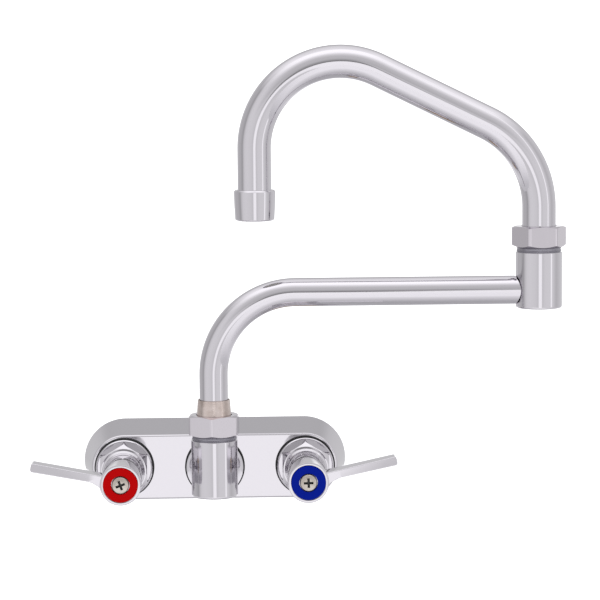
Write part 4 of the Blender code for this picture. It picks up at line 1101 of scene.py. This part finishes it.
# %% The floor
FLOOR_Z, FLOOR_R = -0.30, 1.35
GLOW_CENTRE, GLOW_START, GLOW_FULL, GLOW_LOW, GLOW_HIGH = (0.0, 0.22, 0.0), 0.30, 0.80, 0.05, 0.75
SIDE_START, SIDE_END, SIDE_SHARE = 0.15, 1.05, 0.3
bm = bmesh.new()
bmesh.ops.create_circle(bm, cap_ends=True, segments=96, radius=FLOOR_R,
                        matrix=Matrix.Translation((0, 0, FLOOR_Z)))
floor = bpy.data.objects.new("floor", bpy.data.meshes.new("floor"))
bm.to_mesh(floor.data)
bm.free()
bpy.context.scene.collection.objects.link(floor)
pale, tree, shader = finish("painted_floor_pale", "#BFBFC1", Roughness=0.7)
place = add(tree, "ShaderNodeTexCoord").outputs["Object"]
away = add(tree, "ShaderNodeVectorMath", {0: place, 1: GLOW_CENTRE}, operation="SUBTRACT").outputs["Vector"]
away = add(tree, "ShaderNodeVectorMath", {0: away, 1: (1, 1, 0)}, operation="MULTIPLY").outputs["Vector"]
away = add(tree, "ShaderNodeVectorMath", {0: away}, operation="LENGTH").outputs["Value"]
glow = add(tree, "ShaderNodeMapRange", {"Value": away, "From Min": GLOW_START, "From Max": GLOW_FULL,
                                        "To Min": GLOW_LOW, "To Max": GLOW_HIGH}).outputs["Result"]
across = add(tree, "ShaderNodeSeparateXYZ", {"Vector": place}).outputs["X"]
across = add(tree, "ShaderNodeMath", {0: across}, operation="ABSOLUTE").outputs[0]
shade = add(tree, "ShaderNodeMapRange", {"Value": across, "From Min": SIDE_START, "From Max": SIDE_END,
                                         "To Min": 1.0, "To Max": SIDE_SHARE},
            interpolation_type="SMOOTHSTEP").outputs["Result"]
glow = add(tree, "ShaderNodeMath", {0: glow, 1: shade}, operation="MULTIPLY")
# painted light: the floor glows by emission, dim below the faucet as a painted shadow and brighter further
# out
shader.inputs["Emission Color"].default_value = colour("#FFFFFF")
tree.links.new(glow.outputs[0], shader.inputs["Emission Strength"])
floor.data.materials.append(pale)
print("floor: a disc %.2f m across, %.2f m below the valves" % (2 * FLOOR_R, -FLOOR_Z))

# %% [markdown]
# ## Camera
# A long lens from about a metre and a half, a little above the faucet and nearly square to the wall.

# %% Camera
YAW, PITCH, ROLL = math.radians(1.69), math.radians(6.09), math.radians(-0.48)
CAMERA_PLACE, LENS_MM, SENSOR_MM = (0.0080, -1.4053, 0.2404), 148.7, 36.0
camera = bpy.data.objects.new("camera", bpy.data.cameras.new("camera"))
camera.data.sensor_width = SENSOR_MM
camera.data.lens = LENS_MM
camera.data.clip_start, camera.data.clip_end = 0.01, 100.0
forward = Vector((math.sin(YAW) * math.cos(PITCH), math.cos(YAW) * math.cos(PITCH), -math.sin(PITCH)))
level = Vector((math.cos(YAW), -math.sin(YAW), 0.0))
up = level.cross(forward)
right = math.cos(ROLL) * level + math.sin(ROLL) * up
up = right.cross(forward)
turned = Matrix((right, up, -forward)).transposed().to_4x4()
camera.matrix_world = Matrix.Translation(CAMERA_PLACE) @ turned
bpy.context.scene.collection.objects.link(camera)
bpy.context.scene.camera = camera
bpy.context.scene.view_settings.view_transform = "Standard"
print("camera: %.0f mm lens, %.2f m from the wall" % (camera.data.lens, -camera.location.y))
